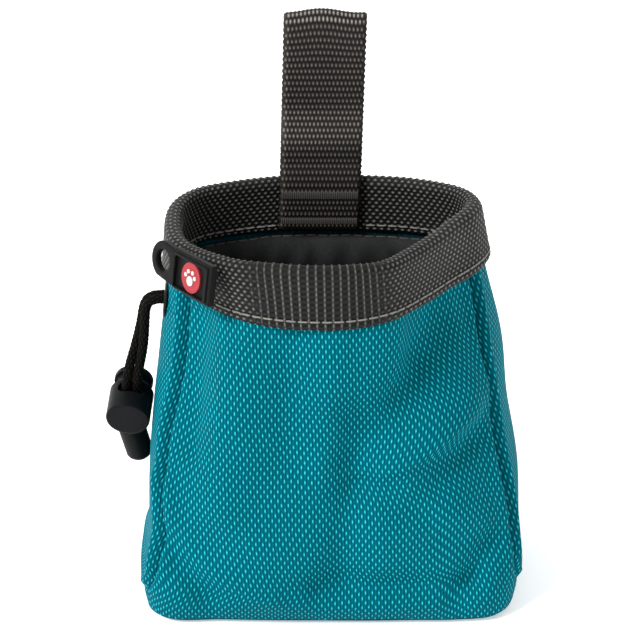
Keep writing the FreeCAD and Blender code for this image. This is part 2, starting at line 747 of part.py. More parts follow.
def make_lock():
    """The barrel, the plunger that slides in it and the spring between them."""
    place = lock_placement()
    floor = size("barrel_floor")
    radius, bore, long = "dims.barrel_across / 2", "dims.barrel_bore / 2", "dims.barrel_long"
    barrel = new_body("barrel_body", place)
    spin(barrel, "barrel_turned", [
        ("0", "0"), (radius + " - 0.5", "0"), (radius + " - 0.12", "0.14"), (radius, "0.5"),
        (radius, long + " - dims.barrel_edge"), (radius + " - dims.barrel_edge * 0.7", long),
        (bore, long), (bore, "dims.barrel_floor"), ("0", "dims.barrel_floor"),
    ])
    doc.recompute()
    slot_pocket(barrel, "barrel_slot", size("slot_from_end") - size("slot_long") / 2,
                size("slot_long"), size("slot_wide"))
    add_node(barrel, "cord_lock_barrel")
    plunger = new_body("plunger_body", place)
    inner, head = "dims.plunger_across / 2", "dims.head_across / 2"
    top, start = "dims.lock_long", "dims.plunger_start"
    spin(plunger, "plunger_turned", [
        ("0", start), (inner, start),
        (inner, top + " - dims.head_thick"), (head, top + " - dims.head_thick"),
        (head, top + " - 0.5"), (head + " - 0.15", top + " - 0.15"), (head + " - 0.5", top),
        (head + " - 1.6", top), (head + " - 2.0", top + " - 0.4"), ("0", top + " - 0.4"),
    ])
    doc.recompute()
    slot_pocket(plunger, "plunger_slot", size("plunger_slot_start"), size("plunger_slot_long"),
                size("plunger_slot_wide"))
    add_node(plunger, "cord_lock_plunger")
    wire_across = size("spring_wire")
    free = size("plunger_start") - floor - wire_across - 0.1
    helix = Part.makeHelix(free / size("spring_turns"), free, size("spring_across") / 2)
    beginning = Vector(size("spring_across") / 2, 0, 0)
    circle = Part.Wire(Part.makeCircle(wire_across / 2, beginning, Vector(0, 1, 0)))
    coil = Part.Wire(helix).makePipeShell([circle], True, True)
    lift = Placement(Vector(0, 0, floor + wire_across / 2 + 0.05), Rotation())
    add_node(feature("spring", coil, place.multiply(lift)), "cord_lock_spring")


def slot_pocket(body, name, start, long, wide):
    """A slot with rounded ends, right through the body's axis, from start for long along it."""
    radius = long / 2
    middle = start + radius
    reach = wide / 2 - radius
    up, out = Vector(0, radius, 0), Vector(radius, 0, 0)
    left, right = Vector(-reach, middle, 0), Vector(reach, middle, 0)
    sketch = sketch_on(body, "XZ_Plane", name + "_outline", [
        Part.LineSegment(left + up, right + up), Part.Arc(right + up, right + out, right - up),
        Part.LineSegment(right - up, left - up), Part.Arc(left - up, left - out, left + up),
    ])
    cut = body.newObject("PartDesign::Pocket", name)
    cut.Profile = sketch
    cut.Type = "ThroughAll"
    cut.Midplane = True


def make_bell():
    """The moulded cord end, hollow from the top, with the knot that holds it on."""
    down = (BELL_BOTTOM - BELL_TOP).normalize()
    place = frame_along(BELL_TOP, down, Vector(1, 0, 0))
    top, low = "dims.bell_top_across / 2", "dims.bell_low_across / 2"
    bore, room = "dims.bell_bore / 2", "dims.bell_room / 2"
    long, deep, rounding = "dims.bell_long", "dims.bell_deep", "dims.bell_round"
    body = new_body("bell_body", place)
    spin(body, "bell_turned", [
        (bore, "0"), (top + " - 0.3", "0"), (top, "0.5"), (top, "2.2"),
        (low + " + 0.1", f"{long} - {rounding}"),
        (low + f" - {rounding} * 0.1", f"{long} - {rounding} * 0.6"),
        (low + f" - {rounding} * 0.38", f"{long} - {rounding} * 0.25"),
        (low + f" - {rounding} * 0.9", long), ("0", long), ("0", deep),
        (room + " - 0.8", deep), (room, deep + " - 1.2"), (room, "2.6"), (bore, "2.0"),
    ])
    add_node(body, "cord_end_bell")
    knot = new_body("knot_body", place)
    across, start, tall = "dims.knot_across / 2", "dims.knot_start", "dims.knot_tall"
    spin(knot, "knot_turned", [
        ("0", start), (across + " - 0.6", start), (across, start + " + 0.7"),
        (across, f"{start} + {tall} - 0.8"), (across + " - 0.8", f"{start} + {tall}"),
        ("0", f"{start} + {tall}"),
    ])
    add_node(knot, "cord_end_knot")


def tunnel_path():
    """The drawstring's centreline in its tunnel: the bag's outline inset, open at the eyelet."""
    height = size("tunnel_z")
    distance = -size("fabric_thick") - size("tunnel_deep") + size("cord_across") / 2 + 0.25
    corners, radii = outline_corners(height, distance)
    half = size("cord_apart") / 2
    before, after = corners[1], corners[2]
    points = []
    for y in (EYELET.y + half, EYELET.y - half):
        share = (y - before.y) / (after.y - before.y)
        points.append(before + (after - before) * share)
    start_x = RIGHT_END[0][0]
    turn = size("tunnel_turn")
    back_corner, front_corner = points
    route = [Vector(start_x, back_corner.y, height), back_corner, *corners[2:], *corners[:2], front_corner,
             Vector(start_x, front_corner.y, height)]
    eased = [max(radius, 3 * size("cord_across")) for radius in radii]
    return route, [turn, *eased[2:], *eased[:2], turn]


def make_cords():
    """The drawstring: the part in the tunnel and its two free ends."""
    across = size("cord_across")
    route, radii = tunnel_path()
    add_node(feature("run_in_tunnel", tube(route, across, "drawstring", radii)), "drawstring")
    add_node(feature("end_left", tube(LEFT_END, across, "left end")), "drawstring_end_left")
    add_node(feature("end_right", tube(RIGHT_END, across, "right end")), "drawstring_end_right")


def export_parts():
    """Checks every object of the document, then writes each sub-part's STEP file."""
    doc.recompute()
    for obj in doc.Objects:
        if "Invalid" in obj.State or "Error" in obj.State:
            raise RuntimeError(f"{obj.Name} failed: {obj.State}")
    os.makedirs("parts", exist_ok=True)
    for obj in NODES:
        shape = obj.Shape
        if shape.isNull() or not shape.isValid() or shape.Volume <= 0:
            raise RuntimeError(f"{obj.Label} has no valid solid")
        shape.exportStep(f"parts/{obj.Label}.step")
        print(f"{obj.Label}: {len(shape.Solids)} solids, {shape.Volume:.1f} mm3")


doc = FreeCAD.newDocument("treat_pouch")
sheet = make_sheet(doc)
bag_shell, bag_inside = make_bag()
make_binding(bag_shell)
make_stitches()
make_tunnel(bag_inside)
make_seam_bindings(bag_inside)
make_belt_loop()
make_loop_tails()
make_loop_stitches()
make_tag()
make_emblem()
make_eyelet()
make_lock()
make_bell()
make_cords()
export_parts()
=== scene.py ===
import math

import bmesh
import bpy
import numpy as np
from mathutils import Matrix, Vector


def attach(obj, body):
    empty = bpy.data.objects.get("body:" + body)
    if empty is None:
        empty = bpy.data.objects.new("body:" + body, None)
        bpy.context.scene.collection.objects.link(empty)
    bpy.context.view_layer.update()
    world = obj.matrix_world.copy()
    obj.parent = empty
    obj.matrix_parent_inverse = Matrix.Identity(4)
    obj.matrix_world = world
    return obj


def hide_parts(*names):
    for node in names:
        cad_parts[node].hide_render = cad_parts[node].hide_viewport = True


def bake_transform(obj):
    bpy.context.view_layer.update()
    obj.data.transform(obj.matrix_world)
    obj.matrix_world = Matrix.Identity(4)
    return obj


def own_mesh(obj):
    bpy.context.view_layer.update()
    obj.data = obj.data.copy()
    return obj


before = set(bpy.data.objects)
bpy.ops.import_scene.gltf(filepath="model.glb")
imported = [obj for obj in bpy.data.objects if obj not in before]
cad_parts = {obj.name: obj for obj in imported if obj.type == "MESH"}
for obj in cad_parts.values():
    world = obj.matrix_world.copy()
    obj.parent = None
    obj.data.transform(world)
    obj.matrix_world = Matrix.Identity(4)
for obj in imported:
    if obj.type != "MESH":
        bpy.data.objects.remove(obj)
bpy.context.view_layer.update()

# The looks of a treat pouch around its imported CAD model. Sizes here are millimetres, and MM turns
# them into the frame's metres. Z is up and -Y is the pouch's front.
MM = 0.001


def add_object(name, data):
    """A new object in the scene, with its data."""
    obj = bpy.data.objects.new(name, data)
    bpy.context.collection.objects.link(obj)
    return obj


# ---- camera

CAMERA_PLACE = Vector((-1.0, -539.28, 308.02))
CAMERA_AIM = Vector((-3.44, 0, 68.0))
CAMERA_LENS, CAMERA_SENSOR = 140.2, 36

camera_data = bpy.data.cameras.new("camera")
camera_data.lens = CAMERA_LENS
camera_data.sensor_width = CAMERA_SENSOR
camera = add_object("camera", camera_data)
camera.location = CAMERA_PLACE * MM
camera.rotation_mode = "QUATERNION"
camera.rotation_quaternion = (CAMERA_AIM * MM - camera.location).to_track_quat("-Z", "Y")
camera_data.clip_start, camera_data.clip_end = 0.01, 20
bpy.context.scene.camera = camera

# ---- sizes

FABRIC = 1.0
WEB = 1.35
BAND_TOP, BAND_LOW = 92.5, 78.0
STITCH_Z = 80.2
TUNNEL_LOW, TUNNEL_HIGH = 64.5, 77.3
TUNNEL_DEPTH = 3.5
SEAM_ROW = 6.0
LOOP_X, LOOP_WIDE = -1.6, 20.0
CORD = 2.4
EYELET = np.array([-39.03, 4.0, 71.0])

# The fabric's outer surface: places in plan, clockwise from the middle of the front, at each height.
# Columns LEFT_SEAM to LEFT_BACK and RIGHT_BACK to RIGHT_SEAM bound the two gussets.
LEFT_SEAM, LEFT_BACK, RIGHT_BACK, RIGHT_SEAM = 4, 8, 14, 17
OUTLINES = {
    92.5: [
        (-5, -28.7), (-14, -27.2), (-21.5, -25.4), (-28, -21), (-33.2, -15.8), (-36.3, -9), (-37.5, 1),
        (-36.9, 12), (-33, 20), (-26, 24.5), (-13, 29), (-1.6, 29.8), (10, 29.5), (21, 27.6), (31.5, 22),
        (35, 14.5), (33.6, 7.5), (29.8, 0.5), (24.4, -9.8), (18.5, -19), (12.5, -26), (4.5, -28.3),
    ],
    78.0: [
        (-4.5, -30.1), (-12.5, -28.6), (-20, -24.8), (-27, -17.8), (-33.4, -9.8), (-37, -3.6), (-38.8, 4),
        (-38.2, 12.5), (-35, 20.3), (-28, 25.3), (-14, 29.9), (-1.6, 30.5), (11, 30.2), (22.5, 28.3),
        (34, 22.8), (37.8, 14.5), (36.8, 8.5), (33.8, 2.2), (28, -5.8), (21.2, -15.8), (13.5, -25),
        (4.8, -29.5),
    ],
    57.0: [
        (-3.5, -31.3), (-13.5, -30.8), (-22, -28.3), (-29.5, -23), (-35.8, -15), (-39.4, -8), (-41.5, 2),
        (-40.3, 13), (-36.5, 21.3), (-29.5, 26.4), (-15, 30.6), (-1, 31.2), (13, 31), (25, 29),
        (37.2, 23.2), (42.2, 14), (41.8, 3), (37.5, -8), (31.8, -16), (25, -23.3), (16, -28.8), (6, -31),
    ],
    45.0: [
        (-3, -31.9), (-14, -31.5), (-23.5, -29.5), (-31.5, -25.5), (-38.4, -18.6), (-41.4, -10), (-43, 1),
        (-41.6, 13), (-37.8, 21.8), (-30.5, 27), (-15.5, 31), (-0.5, 31.7), (14, 31.4), (26.5, 29.5),
        (38.2, 23.8), (43.2, 14), (43.4, 1.5), (39.4, -12.5), (34, -19.5), (27, -25.6), (17.5, -30),
        (7, -31.7),
    ],
    27.0: [
        (-2.5, -32.6), (-14.5, -32.4), (-25, -31), (-34, -28.4), (-39.9, -25.2), (-43, -14), (-44.2, -1),
        (-43, 13), (-39.3, 22.5), (-31.8, 28), (-16, 31.8), (0, 32.4), (15, 32.1), (28, 30), (40.5, 24),
        (45.8, 13.5), (46.6, -2), (43.2, -18.4), (37, -24), (29.5, -29), (19, -31.6), (8, -32.5),
    ],
    13.0: [
        (-2, -33.1), (-15, -33), (-26.5, -32.4), (-36, -31), (-42, -27.5), (-44.2, -16), (-44.8, -1),
        (-43.8, 13), (-40.5, 23), (-33, 29), (-16.5, 32.6), (0, 33), (16, 32.8), (30, 30.6), (42.3, 24.3),
        (46, 13), (46.8, -4), (45, -22), (39.6, -28.4), (31, -31.6), (20, -32.7), (9, -33.1),
    ],
    6.0: [
        (-2, -32.7), (-15, -32.6), (-27, -32.2), (-37.5, -31.2), (-43.9, -25.2), (-45.8, -14), (-46, -1),
        (-45.3, 13), (-41.5, 23.3), (-33.5, 29), (-17, 32.4), (0, 32.8), (16.5, 32.6), (30.5, 30.4),
        (42.8, 24.5), (46.4, 12), (46.8, -5), (45.6, -20), (40.8, -28.2), (32, -31.4), (20, -32.4),
        (9, -32.8),
    ],
    1.2: [
        (-2, -29.8), (-15, -29.7), (-26.5, -29.4), (-38, -29.4), (-43.4, -24.4), (-44.6, -13), (-45.2, -1),
        (-43.6, 12.5), (-39.8, 22), (-32, 27), (-16.5, 29.8), (0, 30), (16, 29.8), (29, 28), (41.3, 23),
        (44.8, 11.5), (45.4, -5), (45, -19), (40.6, -27.2), (31, -29.3), (20, -29.6), (9, -29.9),
    ],
}
COLUMNS = len(OUTLINES[92.5])

# Folds of the front: (from, to, height, width on one side, width on the other), ends as (x, z). A fold
# with a positive height stands out. Its first width is on the right of someone going from end to end.
FOLDS = [
    ((31, 80), (9, 43), -4.4, 7.0, 9.0), ((12, 41.5), (33, 51), 3.0, 3.6, 8.0),
    ((31, 74), (34, 56), 1.4, 4.0, 5.0), ((33, 44), (22, 33), -1.7, 6.0, 4.0),
    ((6.5, 55), (3, 16), -2.6, 5.0, 5.0), ((-2, 10.5), (34, 11.5), -2.4, 3.2, 4.0),
    ((-22, 78), (-25, 32), 2.2, 6.0, 7.5), ((-30.5, 74), (-32.5, 44), -1.6, 2.6, 3.0),
    ((-10, 76), (-8, 44), -1.5, 5.0, 6.0), ((-38, 22), (-29, 8), -1.8, 3.0, 3.6),
    ((38, 20), (31, 7), -1.8, 3.6, 3.0), ((-16, 22), (14, 27), 1.3, 8.0, 7.0),
    ((-39, 34), (-35, 20), 1.2, 3.0, 3.0), ((-2, 77), (0, 60), 1.1, 4.0, 4.5),
    ((13, 77), (16, 66), 1.1, 3.5, 4.0), ((20, 36), (36, 26), 1.6, 4.0, 5.0),
    ((-30, 16), (-14, 10), 1.1, 3.5, 3.5),
]

# The drawstring's two free ends, from the eyelet through the cord lock into the bell.
LEFT_END = [
    (-40.3, 5.3, 71.0), (-43.0, 5.3, 71.0), (-44.9, 5.0, 69.0), (-45.6, 3.9, 64.4), (-46.9, 1.7, 59.6),
    (-48.82, -2.55, 53.84), (-49.62, 0.65, 46.55), (-50.40, 3.77, 39.45),
    (-50.18, 5.79, 34.97), (-49.47, 6.88, 31.51),
]
RIGHT_END = [
    (-40.3, 2.7, 71.0), (-42.7, 2.7, 71.0), (-44.4, 2.4, 69.2), (-44.6, 1.3, 64.5), (-45.0, -0.3, 59.4),
    (-46.34, -2.61, 53.54), (-47.14, 0.59, 46.26), (-47.92, 3.71, 39.15),
    (-47.79, 5.51, 35.35), (-47.08, 6.59, 31.89),
]


# ---- curves and surfaces


def run_along(points):
    """Distance from the first of a row of points to each of them, along the row."""
    return np.concatenate([[0], np.cumsum(np.linalg.norm(points[1:] - points[:-1], axis=1))])


def slopes(values, knots, closed):
    """Finite-difference tangents for cubic interpolation of rows of points."""
    if closed:
        span = knots[-1]
        before = np.roll(values[:-1], 1, 0)
        after = np.roll(values[:-1], -1, 0)
        t = knots[:-1]
        t_before = np.roll(t, 1)
        t_before[0] -= span
        t_after = np.roll(t, -1)
        t_after[-1] += span
        inner = (after - before) / (t_after - t_before).reshape((-1,) + (1,) * (values.ndim - 1))
        return np.concatenate([inner, inner[:1]])
    return np.gradient(values, knots, axis=0)


def through(values, knots, at, closed=False):
    """A cubic curve through rows of points, read at the places at."""
    values, knots, at = np.asarray(values, float), np.asarray(knots, float), np.asarray(at, float)
    lean = slopes(values, knots, closed)
    k = np.clip(np.searchsorted(knots, at, side="right") - 1, 0, len(knots) - 2)
    step = knots[k + 1] - knots[k]
    t = (at - knots[k]) / step
    shape = (-1,) + (1,) * (values.ndim - 1)
    t, step = t.reshape(shape), step.reshape(shape)
    return (values[k] * (2 * t**3 - 3 * t**2 + 1) + values[k + 1] * (3 * t**2 - 2 * t**3)
            + lean[k] * step * (t**3 - 2 * t**2 + t) + lean[k + 1] * step * (t**3 - t**2))


def outline_at(height_list, u):
    """Plan places of the fabric at given columns u (0 to COLUMNS) for each height: rows x columns x 2."""
    heights = sorted(OUTLINES)
    rounds = []
    for height in heights:
        points = np.array(OUTLINES[height] + OUTLINES[height][:1], float)
        chords = np.sqrt(((points[1:] - points[:-1]) ** 2).sum(1)) ** 0.5
        knots = np.concatenate([[0], np.cumsum(chords)])
        places = np.interp(u, np.arange(COLUMNS + 1), knots)
        rounds.append(through(points, knots, places, closed=True))
    return through(np.array(rounds), np.array(heights), np.asarray(height_list, float))


def distances_round(grid):
    """Distance along each closed row from its first column, and each row's whole length."""
    steps = np.linalg.norm(np.roll(grid, -1, 1) - grid, axis=2)
    run = np.concatenate([np.zeros((len(grid), 1)), np.cumsum(steps, 1)[:, :-1]], axis=1)
    return run, steps.sum(1, keepdims=True)


def normals_of(grid):
    """Outward unit normals of a rows x columns x 3 grid that closes round its columns."""
    along = np.roll(grid, -1, 1) - np.roll(grid, 1, 1)
    up = np.gradient(grid, axis=0)
    n = np.cross(along, up)
    n /= np.maximum(np.linalg.norm(n, axis=2, keepdims=True), 1e-9)
    return n


def fold_lift(x, z):
    """How far the front's folds stand out at places (x, z)."""
    lift = np.zeros_like(x)
    for (x0, z0), (x1, z1), depth, right, left in FOLDS:
        dx, dz = x1 - x0, z1 - z0
        long = math.hypot(dx, dz)
        t = np.clip(((x - x0) * dx + (z - z0) * dz) / long**2, 0, 1)
        away = np.hypot(x - x0 - t * dx, z - z0 - t * dz)
        side = ((x - x0) * dz - (z - z0) * dx) / long
        width = (left + right) / 2 + (right - left) / 2 * np.tanh(side / 1.5)
        lift += depth * np.exp(-((away / width) ** 2))
    return lift


def wrinkles(u, z):
    """Soft irregular waves all round, as from a slack fabric."""
    turn = u / COLUMNS * 2 * math.pi
    wave = 0.35 * np.sin(3 * turn + z * 0.05) * np.sin(z * 0.09 + 1.0)
    wave += 0.28 * np.sin(7 * turn + 1.3 - z * 0.07) * np.sin(z * 0.13 + 0.4)
    wave += 0.16 * np.sin(13 * turn + 0.7 + z * 0.11) * np.sin(z * 0.21 + 2.0)
    pucker = 0.22 * np.sin(27 * turn + 0.5) * np.exp(-np.maximum(78 - z, 0) / 7.0)
    return wave + pucker * (z < 78)


def seam_lift(grid, u, rows_z):
    """The groove along each gusset's seams and the roll beside it."""
    lift = np.zeros(grid.shape[:2])
    run, total = distances_round(grid)
    for column, gusset_side, groove in (
        (LEFT_SEAM, 1, 2.5), (LEFT_BACK, -1, 1.8), (RIGHT_BACK, 1, 1.8), (RIGHT_SEAM, -1, 2.3),
    ):
        at = int(np.argmin(abs(u - column)))
        away = run - run[:, at:at + 1]
        away = (away + total / 2) % total - total / 2
        inside = away * gusset_side
        fade = np.clip((rows_z - SEAM_ROW) / 7.0, 0, 1)[:, None]
        roll = 1.3 * np.exp(-(((inside - 2.5) / 1.6) ** 2)) + 0.5 * np.exp(-(((inside + 2.6) / 1.6) ** 2))
        lift += fade * (roll - groove * np.exp(-((away / 1.05) ** 2)))
    for low, high in ((LEFT_SEAM, LEFT_BACK), (RIGHT_BACK, RIGHT_SEAM)):
        across = np.clip(np.minimum(u - low, high - u) / 0.25, 0, 1)[None, :]
        above = (rows_z - SEAM_ROW)[:, None]
        line = 0.7 * np.exp(-(((above - 2.0) / 1.3) ** 2)) - 1.0 * np.exp(-((above / 0.9) ** 2))
        lift += across * line
    return lift


# Mesh columns to each of the outlines' columns.
PER = 26
U_FINE = np.arange(COLUMNS * PER) / PER


def bag_rows():
    """Heights of the fabric's rows, from the rim down to the edge of the base."""
    high = np.linspace(92.2, 12.0, 150)
    low = np.linspace(12.0, SEAM_ROW, 16)[1:]
    under = np.array([5.4, 4.8, 4.2, 3.6, 3.0, 2.4, 1.8, 1.2])
    return np.concatenate([high, low, under])


def skin(rows_z, u=U_FINE, detail=True):
    """The fabric's outer surface, rows x columns x 3, and its normals."""
    plan = outline_at(rows_z, u)
    grid = np.concatenate([plan, np.broadcast_to(rows_z[:, None, None], plan.shape[:2] + (1,))], axis=2)
    n = normals_of(grid)
    if detail:
        x, y, z = grid[..., 0], grid[..., 1], grid[..., 2]
        front = np.clip((-y - 6) / 14, 0, 1)
        calm = np.clip((92 - z) / 16, 0.12, 1) * np.clip(z / 8, 0, 1) * np.clip(1.2 - abs(x) / 48, 0.3, 1)
        lift = fold_lift(x, z) * front * np.clip((80 - z) / 3, 0, 1) + wrinkles(u[None, :], z) * calm
        seams = seam_lift(grid, u, rows_z) * np.where(z > 78, np.clip(1 - (z - 78) / 4, 0, 1), 1)
        near_eyelet = np.linalg.norm(grid - EYELET, axis=2)
        steady = 1 - np.exp(-((near_eyelet / 6.0) ** 2))
        grid = grid + n * ((lift + seams) * steady)[..., None]
        n = normals_of(grid)
    return grid, n


def lengths_round(grid, closed=False):
    """Distance in millimetres along each row; closed rows count both ways from their first column."""
    run, total = distances_round(grid)
    return np.where(run > total / 2, run - total, run) if closed else run


def path_along(points, step):
    """Even places, about step apart, on a smooth curve through points."""
    points = np.array(points, float)
    knots = run_along(points)
    dense = through(points, knots, np.linspace(0, knots[-1], 4000))
    run = run_along(dense)
    places = np.linspace(0, run[-1], max(2, round(run[-1] / step)) + 1)
    return np.stack([np.interp(places, run, dense[:, k]) for k in range(dense.shape[1])], axis=1), places


def unit(vectors):
    """Rows of vectors at length 1."""
    return vectors / np.maximum(np.linalg.norm(vectors, axis=-1, keepdims=True), 1e-9)


# ---- meshes


def new_mesh(name, points, faces, uvs=None, relief=None):
    """A smooth mesh object from points in millimetres.

    uvs holds one (a, b) in millimetres per point, for the weave, and relief one number from 0 to 1."""
    mesh = bpy.data.meshes.new(name)
    mesh.from_pydata((np.asarray(points, float) * MM).tolist(), [], [list(map(int, f)) for f in faces])
    if uvs is not None:
        layer = mesh.uv_layers.new(name="weave")
        corner = np.empty(len(mesh.loops), dtype=np.int32)
        mesh.loops.foreach_get("vertex_index", corner)
        layer.data.foreach_set("uv", np.asarray(uvs, float)[corner].ravel())
    if relief is not None:
        shade = mesh.attributes.new("relief", "FLOAT", "POINT")
        shade.data.foreach_set("value", np.asarray(relief, np.float32).ravel())
    mesh.update()
    mesh.shade_smooth()
    return add_object(name, mesh)


def grid_faces(rows, columns, closed=False):
    """Quads of a grid of points. They face outwards when rows run down and columns clockwise."""
    i, j = np.meshgrid(np.arange(rows - 1), np.arange(columns if closed else columns - 1), indexing="ij")
    a, b = i * columns + j, i * columns + (j + 1) % columns
    return np.stack([a, b, b + columns, a + columns], axis=2).reshape(-1, 4).tolist()


def tube_mesh(name, centres, radii, sides, shaded=True):
    """A round tube with closed ends; radii holds rows x sides distances from the centre line."""
    along = unit(np.gradient(centres, axis=0))
    across = np.empty_like(along)
    start = np.array([0.0, 0.0, 1.0]) if abs(along[0, 2]) < 0.9 else np.array([0.0, 1.0, 0.0])
    for k in range(len(along)):
        start = start - along[k] * (start @ along[k])
        start = start / np.linalg.norm(start)
        across[k] = start
    other = np.cross(along, across)
    turn = (np.arange(sides) / sides * 2 * math.pi)[None, :, None]
    spokes = across[:, None] * np.cos(turn) + other[:, None] * np.sin(turn)
    points = (centres[:, None] + radii[..., None] * spokes).reshape(-1, 3)
    faces = [f[::-1] for f in grid_faces(len(centres), sides, closed=True)]
    faces.append(list(range(sides))[::-1])
    faces.append(list(range(len(points) - sides, len(points))))
    # With shaded, the radii also give the relief that colours the mesh, lightest where they are largest:
    # painted light on the crowns.
    return new_mesh(name, points, faces, relief=radii / radii.max() if shaded else None)


def thicken(obj, thick, inner_slot=0):
    """Gives a skin its thickness inwards; the inner face may take its own material slot."""
    made = obj.modifiers.new("thickness", "SOLIDIFY")
    made.thickness = thick * MM
    made.offset = -1
    made.material_offset = inner_slot
    made.use_even_offset = False
    return obj


# ---- the bag


def make_gusset(name, grid, low, high, seam_row):
    """One side's fabric, between its two seams and above the base's seam."""
    part = grid[:seam_row + 1, low * PER:high * PER + 1]
    around = lengths_round(part)
    around = around - around[:, around.shape[1] // 2][:, None]
    down = run_along(part[:, 0])
    uv = np.stack([around, np.broadcast_to(-down[:, None], around.shape)], axis=2)
    faces = grid_faces(part.shape[0], part.shape[1])
    return new_mesh(name, part.reshape(-1, 3), faces, uv.reshape(-1, 2))


# The base's rings: share of the way out from its centre, and height.
BASE_RINGS = [(0.985, 0.55), (0.965, 0.2), (0.93, 0.05), (0.86, 0.12), (0.72, 0.3), (0.52, 0.4), (0.3, 0.35),
              (0.12, 0.3)]


def make_strip(grid, seam_row):
    """Front, base and back in one mesh: all columns but the gussets' above the seam, and the base."""
    count = grid.shape[1]
    centre = np.array([0.5, 0.5, 0.0])
    rings = []
    for share, height in BASE_RINGS:
        ring = centre + (grid[-1] - centre) * share
        ring[:, 2] = height
        rings.append(ring)
    points = np.concatenate([grid, np.array(rings)])
    column = np.arange(count)
    in_gusset = (((column >= LEFT_SEAM * PER) & (column < LEFT_BACK * PER))
                 | ((column >= RIGHT_BACK * PER) & (column < RIGHT_SEAM * PER)))
    faces = [f for f in grid_faces(len(points), count, closed=True)
             if f[0] // count >= seam_row or not in_gusset[f[0] % count]]
    flat = points.reshape(-1, 3)
    faces.append(list(range(len(flat) - count, len(flat))))
    around = lengths_round(points, closed=True)
    down = np.linalg.norm(points[1:] - points[:-1], axis=2)
    down = np.concatenate([np.zeros((1, count)), np.cumsum(down, 0)])
    uv = np.stack([around, -down], axis=2)
    uv[len(grid):, :, 0] = points[len(grid):, :, 0]
    used = np.unique(np.concatenate([np.array(f) for f in faces]))
    place = np.zeros(len(flat), int)
    place[used] = np.arange(len(used))
    faces = [place[f].tolist() for f in faces]
    return new_mesh("front_base_back_fabric", flat[used], faces, uv.reshape(-1, 2)[used])


# ---- the rim's webbing

WEB_PITCH, WEB_ROW, GRAIN_ROW = 1.84, 1.25, 1.0
RELIEF = 0.34


def web_relief(a, b):
    """Height, from 0 to 1, of heavy webbing: ribs of beads at every pitch, and low cells between them."""
    rib = np.cos(math.pi * a / WEB_PITCH) ** 2
    wave = 0.5 * np.cos(2 * math.pi * (b / WEB_ROW))
    bead, cell = 0.5 + wave, 0.5 - wave
    return np.clip(rib**4.5 * (0.45 + 0.42 * bead**0.7) + 0.34 * (1 - rib) ** 0.7 * cell, 0, 1)


def band_relief(a, b):
    """Height, from 0 to 1, of the rim's webbing: open ribs where it bends at the front, else grains."""
    ribs = web_relief(a, b)
    lattice = grains(b, a, GRAIN_ROW, WEB_PITCH)
    open_share = 1 / (1 + np.exp((abs(a + 3.0) - 15.5) / 1.6))
    return ribs * open_share + lattice * (1 - open_share)


def grains(a, b, pitch, row):
    """Height, from 0 to 1, of webbing with long grains along it, staggered from row to row like bricks."""
    shift = 0.5 * (np.round(a / pitch) % 2)
    long = np.cos(math.pi * a / pitch) ** 2
    slim = 0.5 + 0.5 * np.cos(2 * math.pi * (b / row + shift))
    return np.clip(long**0.55 * (0.1 + 0.9 * slim**1.25), 0, 1)


def band_section():
    """The folded binding's section: (height, offset from the fabric) from its outer edge to its inner one."""
    middle, half = -FABRIC / 2, WEB + FABRIC / 2
    turn_z = BAND_TOP - half + 0.1
    outer = [(z, WEB) for z in np.linspace(BAND_LOW, turn_z, 60)]
    turn = [(turn_z + half * math.sin(t), middle + half * math.cos(t))
            for t in np.linspace(0, math.pi, 17)[1:-1]]
    inner = [(z, -FABRIC - WEB) for z in np.linspace(turn_z, BAND_LOW + 0.4, 58)]
    section = np.array(outer + turn + inner)
    steps = np.hypot(*(section[1:] - section[:-1]).T)
    return section, np.concatenate([[0], np.cumsum(steps)])


def sideways(heights, u):
    """The plain outline's places at heights, and the level directions straight out of it."""
    plan = outline_at(heights, u)
    along = np.roll(plan, -1, 1) - np.roll(plan, 1, 1)
    out = unit(np.stack([-along[..., 1], along[..., 0]], axis=2))
    level = np.broadcast_to(np.asarray(heights)[:, None, None], plan.shape[:2] + (1,))
    return np.concatenate([plan, level], axis=2), np.concatenate([out, np.zeros_like(level)], axis=2)


def make_band():
    """The webbing folded over the mouth's edge, with its woven relief."""
    count = 1080
    section, across = band_section()
    u = np.arange(count) / count * COLUMNS
    base, out = sideways(section[:, 0], u)
    grid = base + out * section[:, 1][:, None, None]
    facing = -normals_of(grid)
    reference = grid[:1]
    run = lengths_round(reference)[0]
    total = run[-1] + np.linalg.norm(reference[0, 0] - reference[0, -1])
    pitches = 2 * round(total / WEB_PITCH / 2)
    run = np.where(run > total / 2, run - total, run)
    a = np.broadcast_to(run * pitches * WEB_PITCH / total, grid.shape[:2])
    b = np.broadcast_to(across[:, None], grid.shape[:2])
    height = band_relief(a, b)
    edge = np.clip(np.minimum(across, across[-1] - across) / 0.8, 0, 1)[:, None]
    face = grid + facing * (height * RELIEF * edge - 0.35 * (1 - edge) ** 2)[..., None]
    low_edge, inner_edge = face[0] - facing[0] * 0.9, face[-1] - facing[-1] * 0.9
    points = np.concatenate([low_edge[None], face, inner_edge[None]])
    faces = [f[::-1] for f in grid_faces(len(points), count, closed=True)]
    # The relief also colours the webbing: painted shade in its low cells and painted light on its crowns. The
    # two edge rows take 0, the darkest colour.
    shade = np.concatenate([height[:1] * 0, height, height[-1:] * 0])
    uv = np.stack([np.concatenate([a[:1], a, a[-1:]]), np.concatenate([b[:1] - 1, b, b[-1:] + 1])], axis=2)
    return new_mesh("rim_binding_webbing", points.reshape(-1, 3), faces, uv.reshape(-1, 2), shade)


# ---- the belt loop's webbing

LOOP_PITCH, LOOP_ROW = 1.55, 0.98
LOOP_CROWN = 0.5
LOOP_LEAN = 0.028
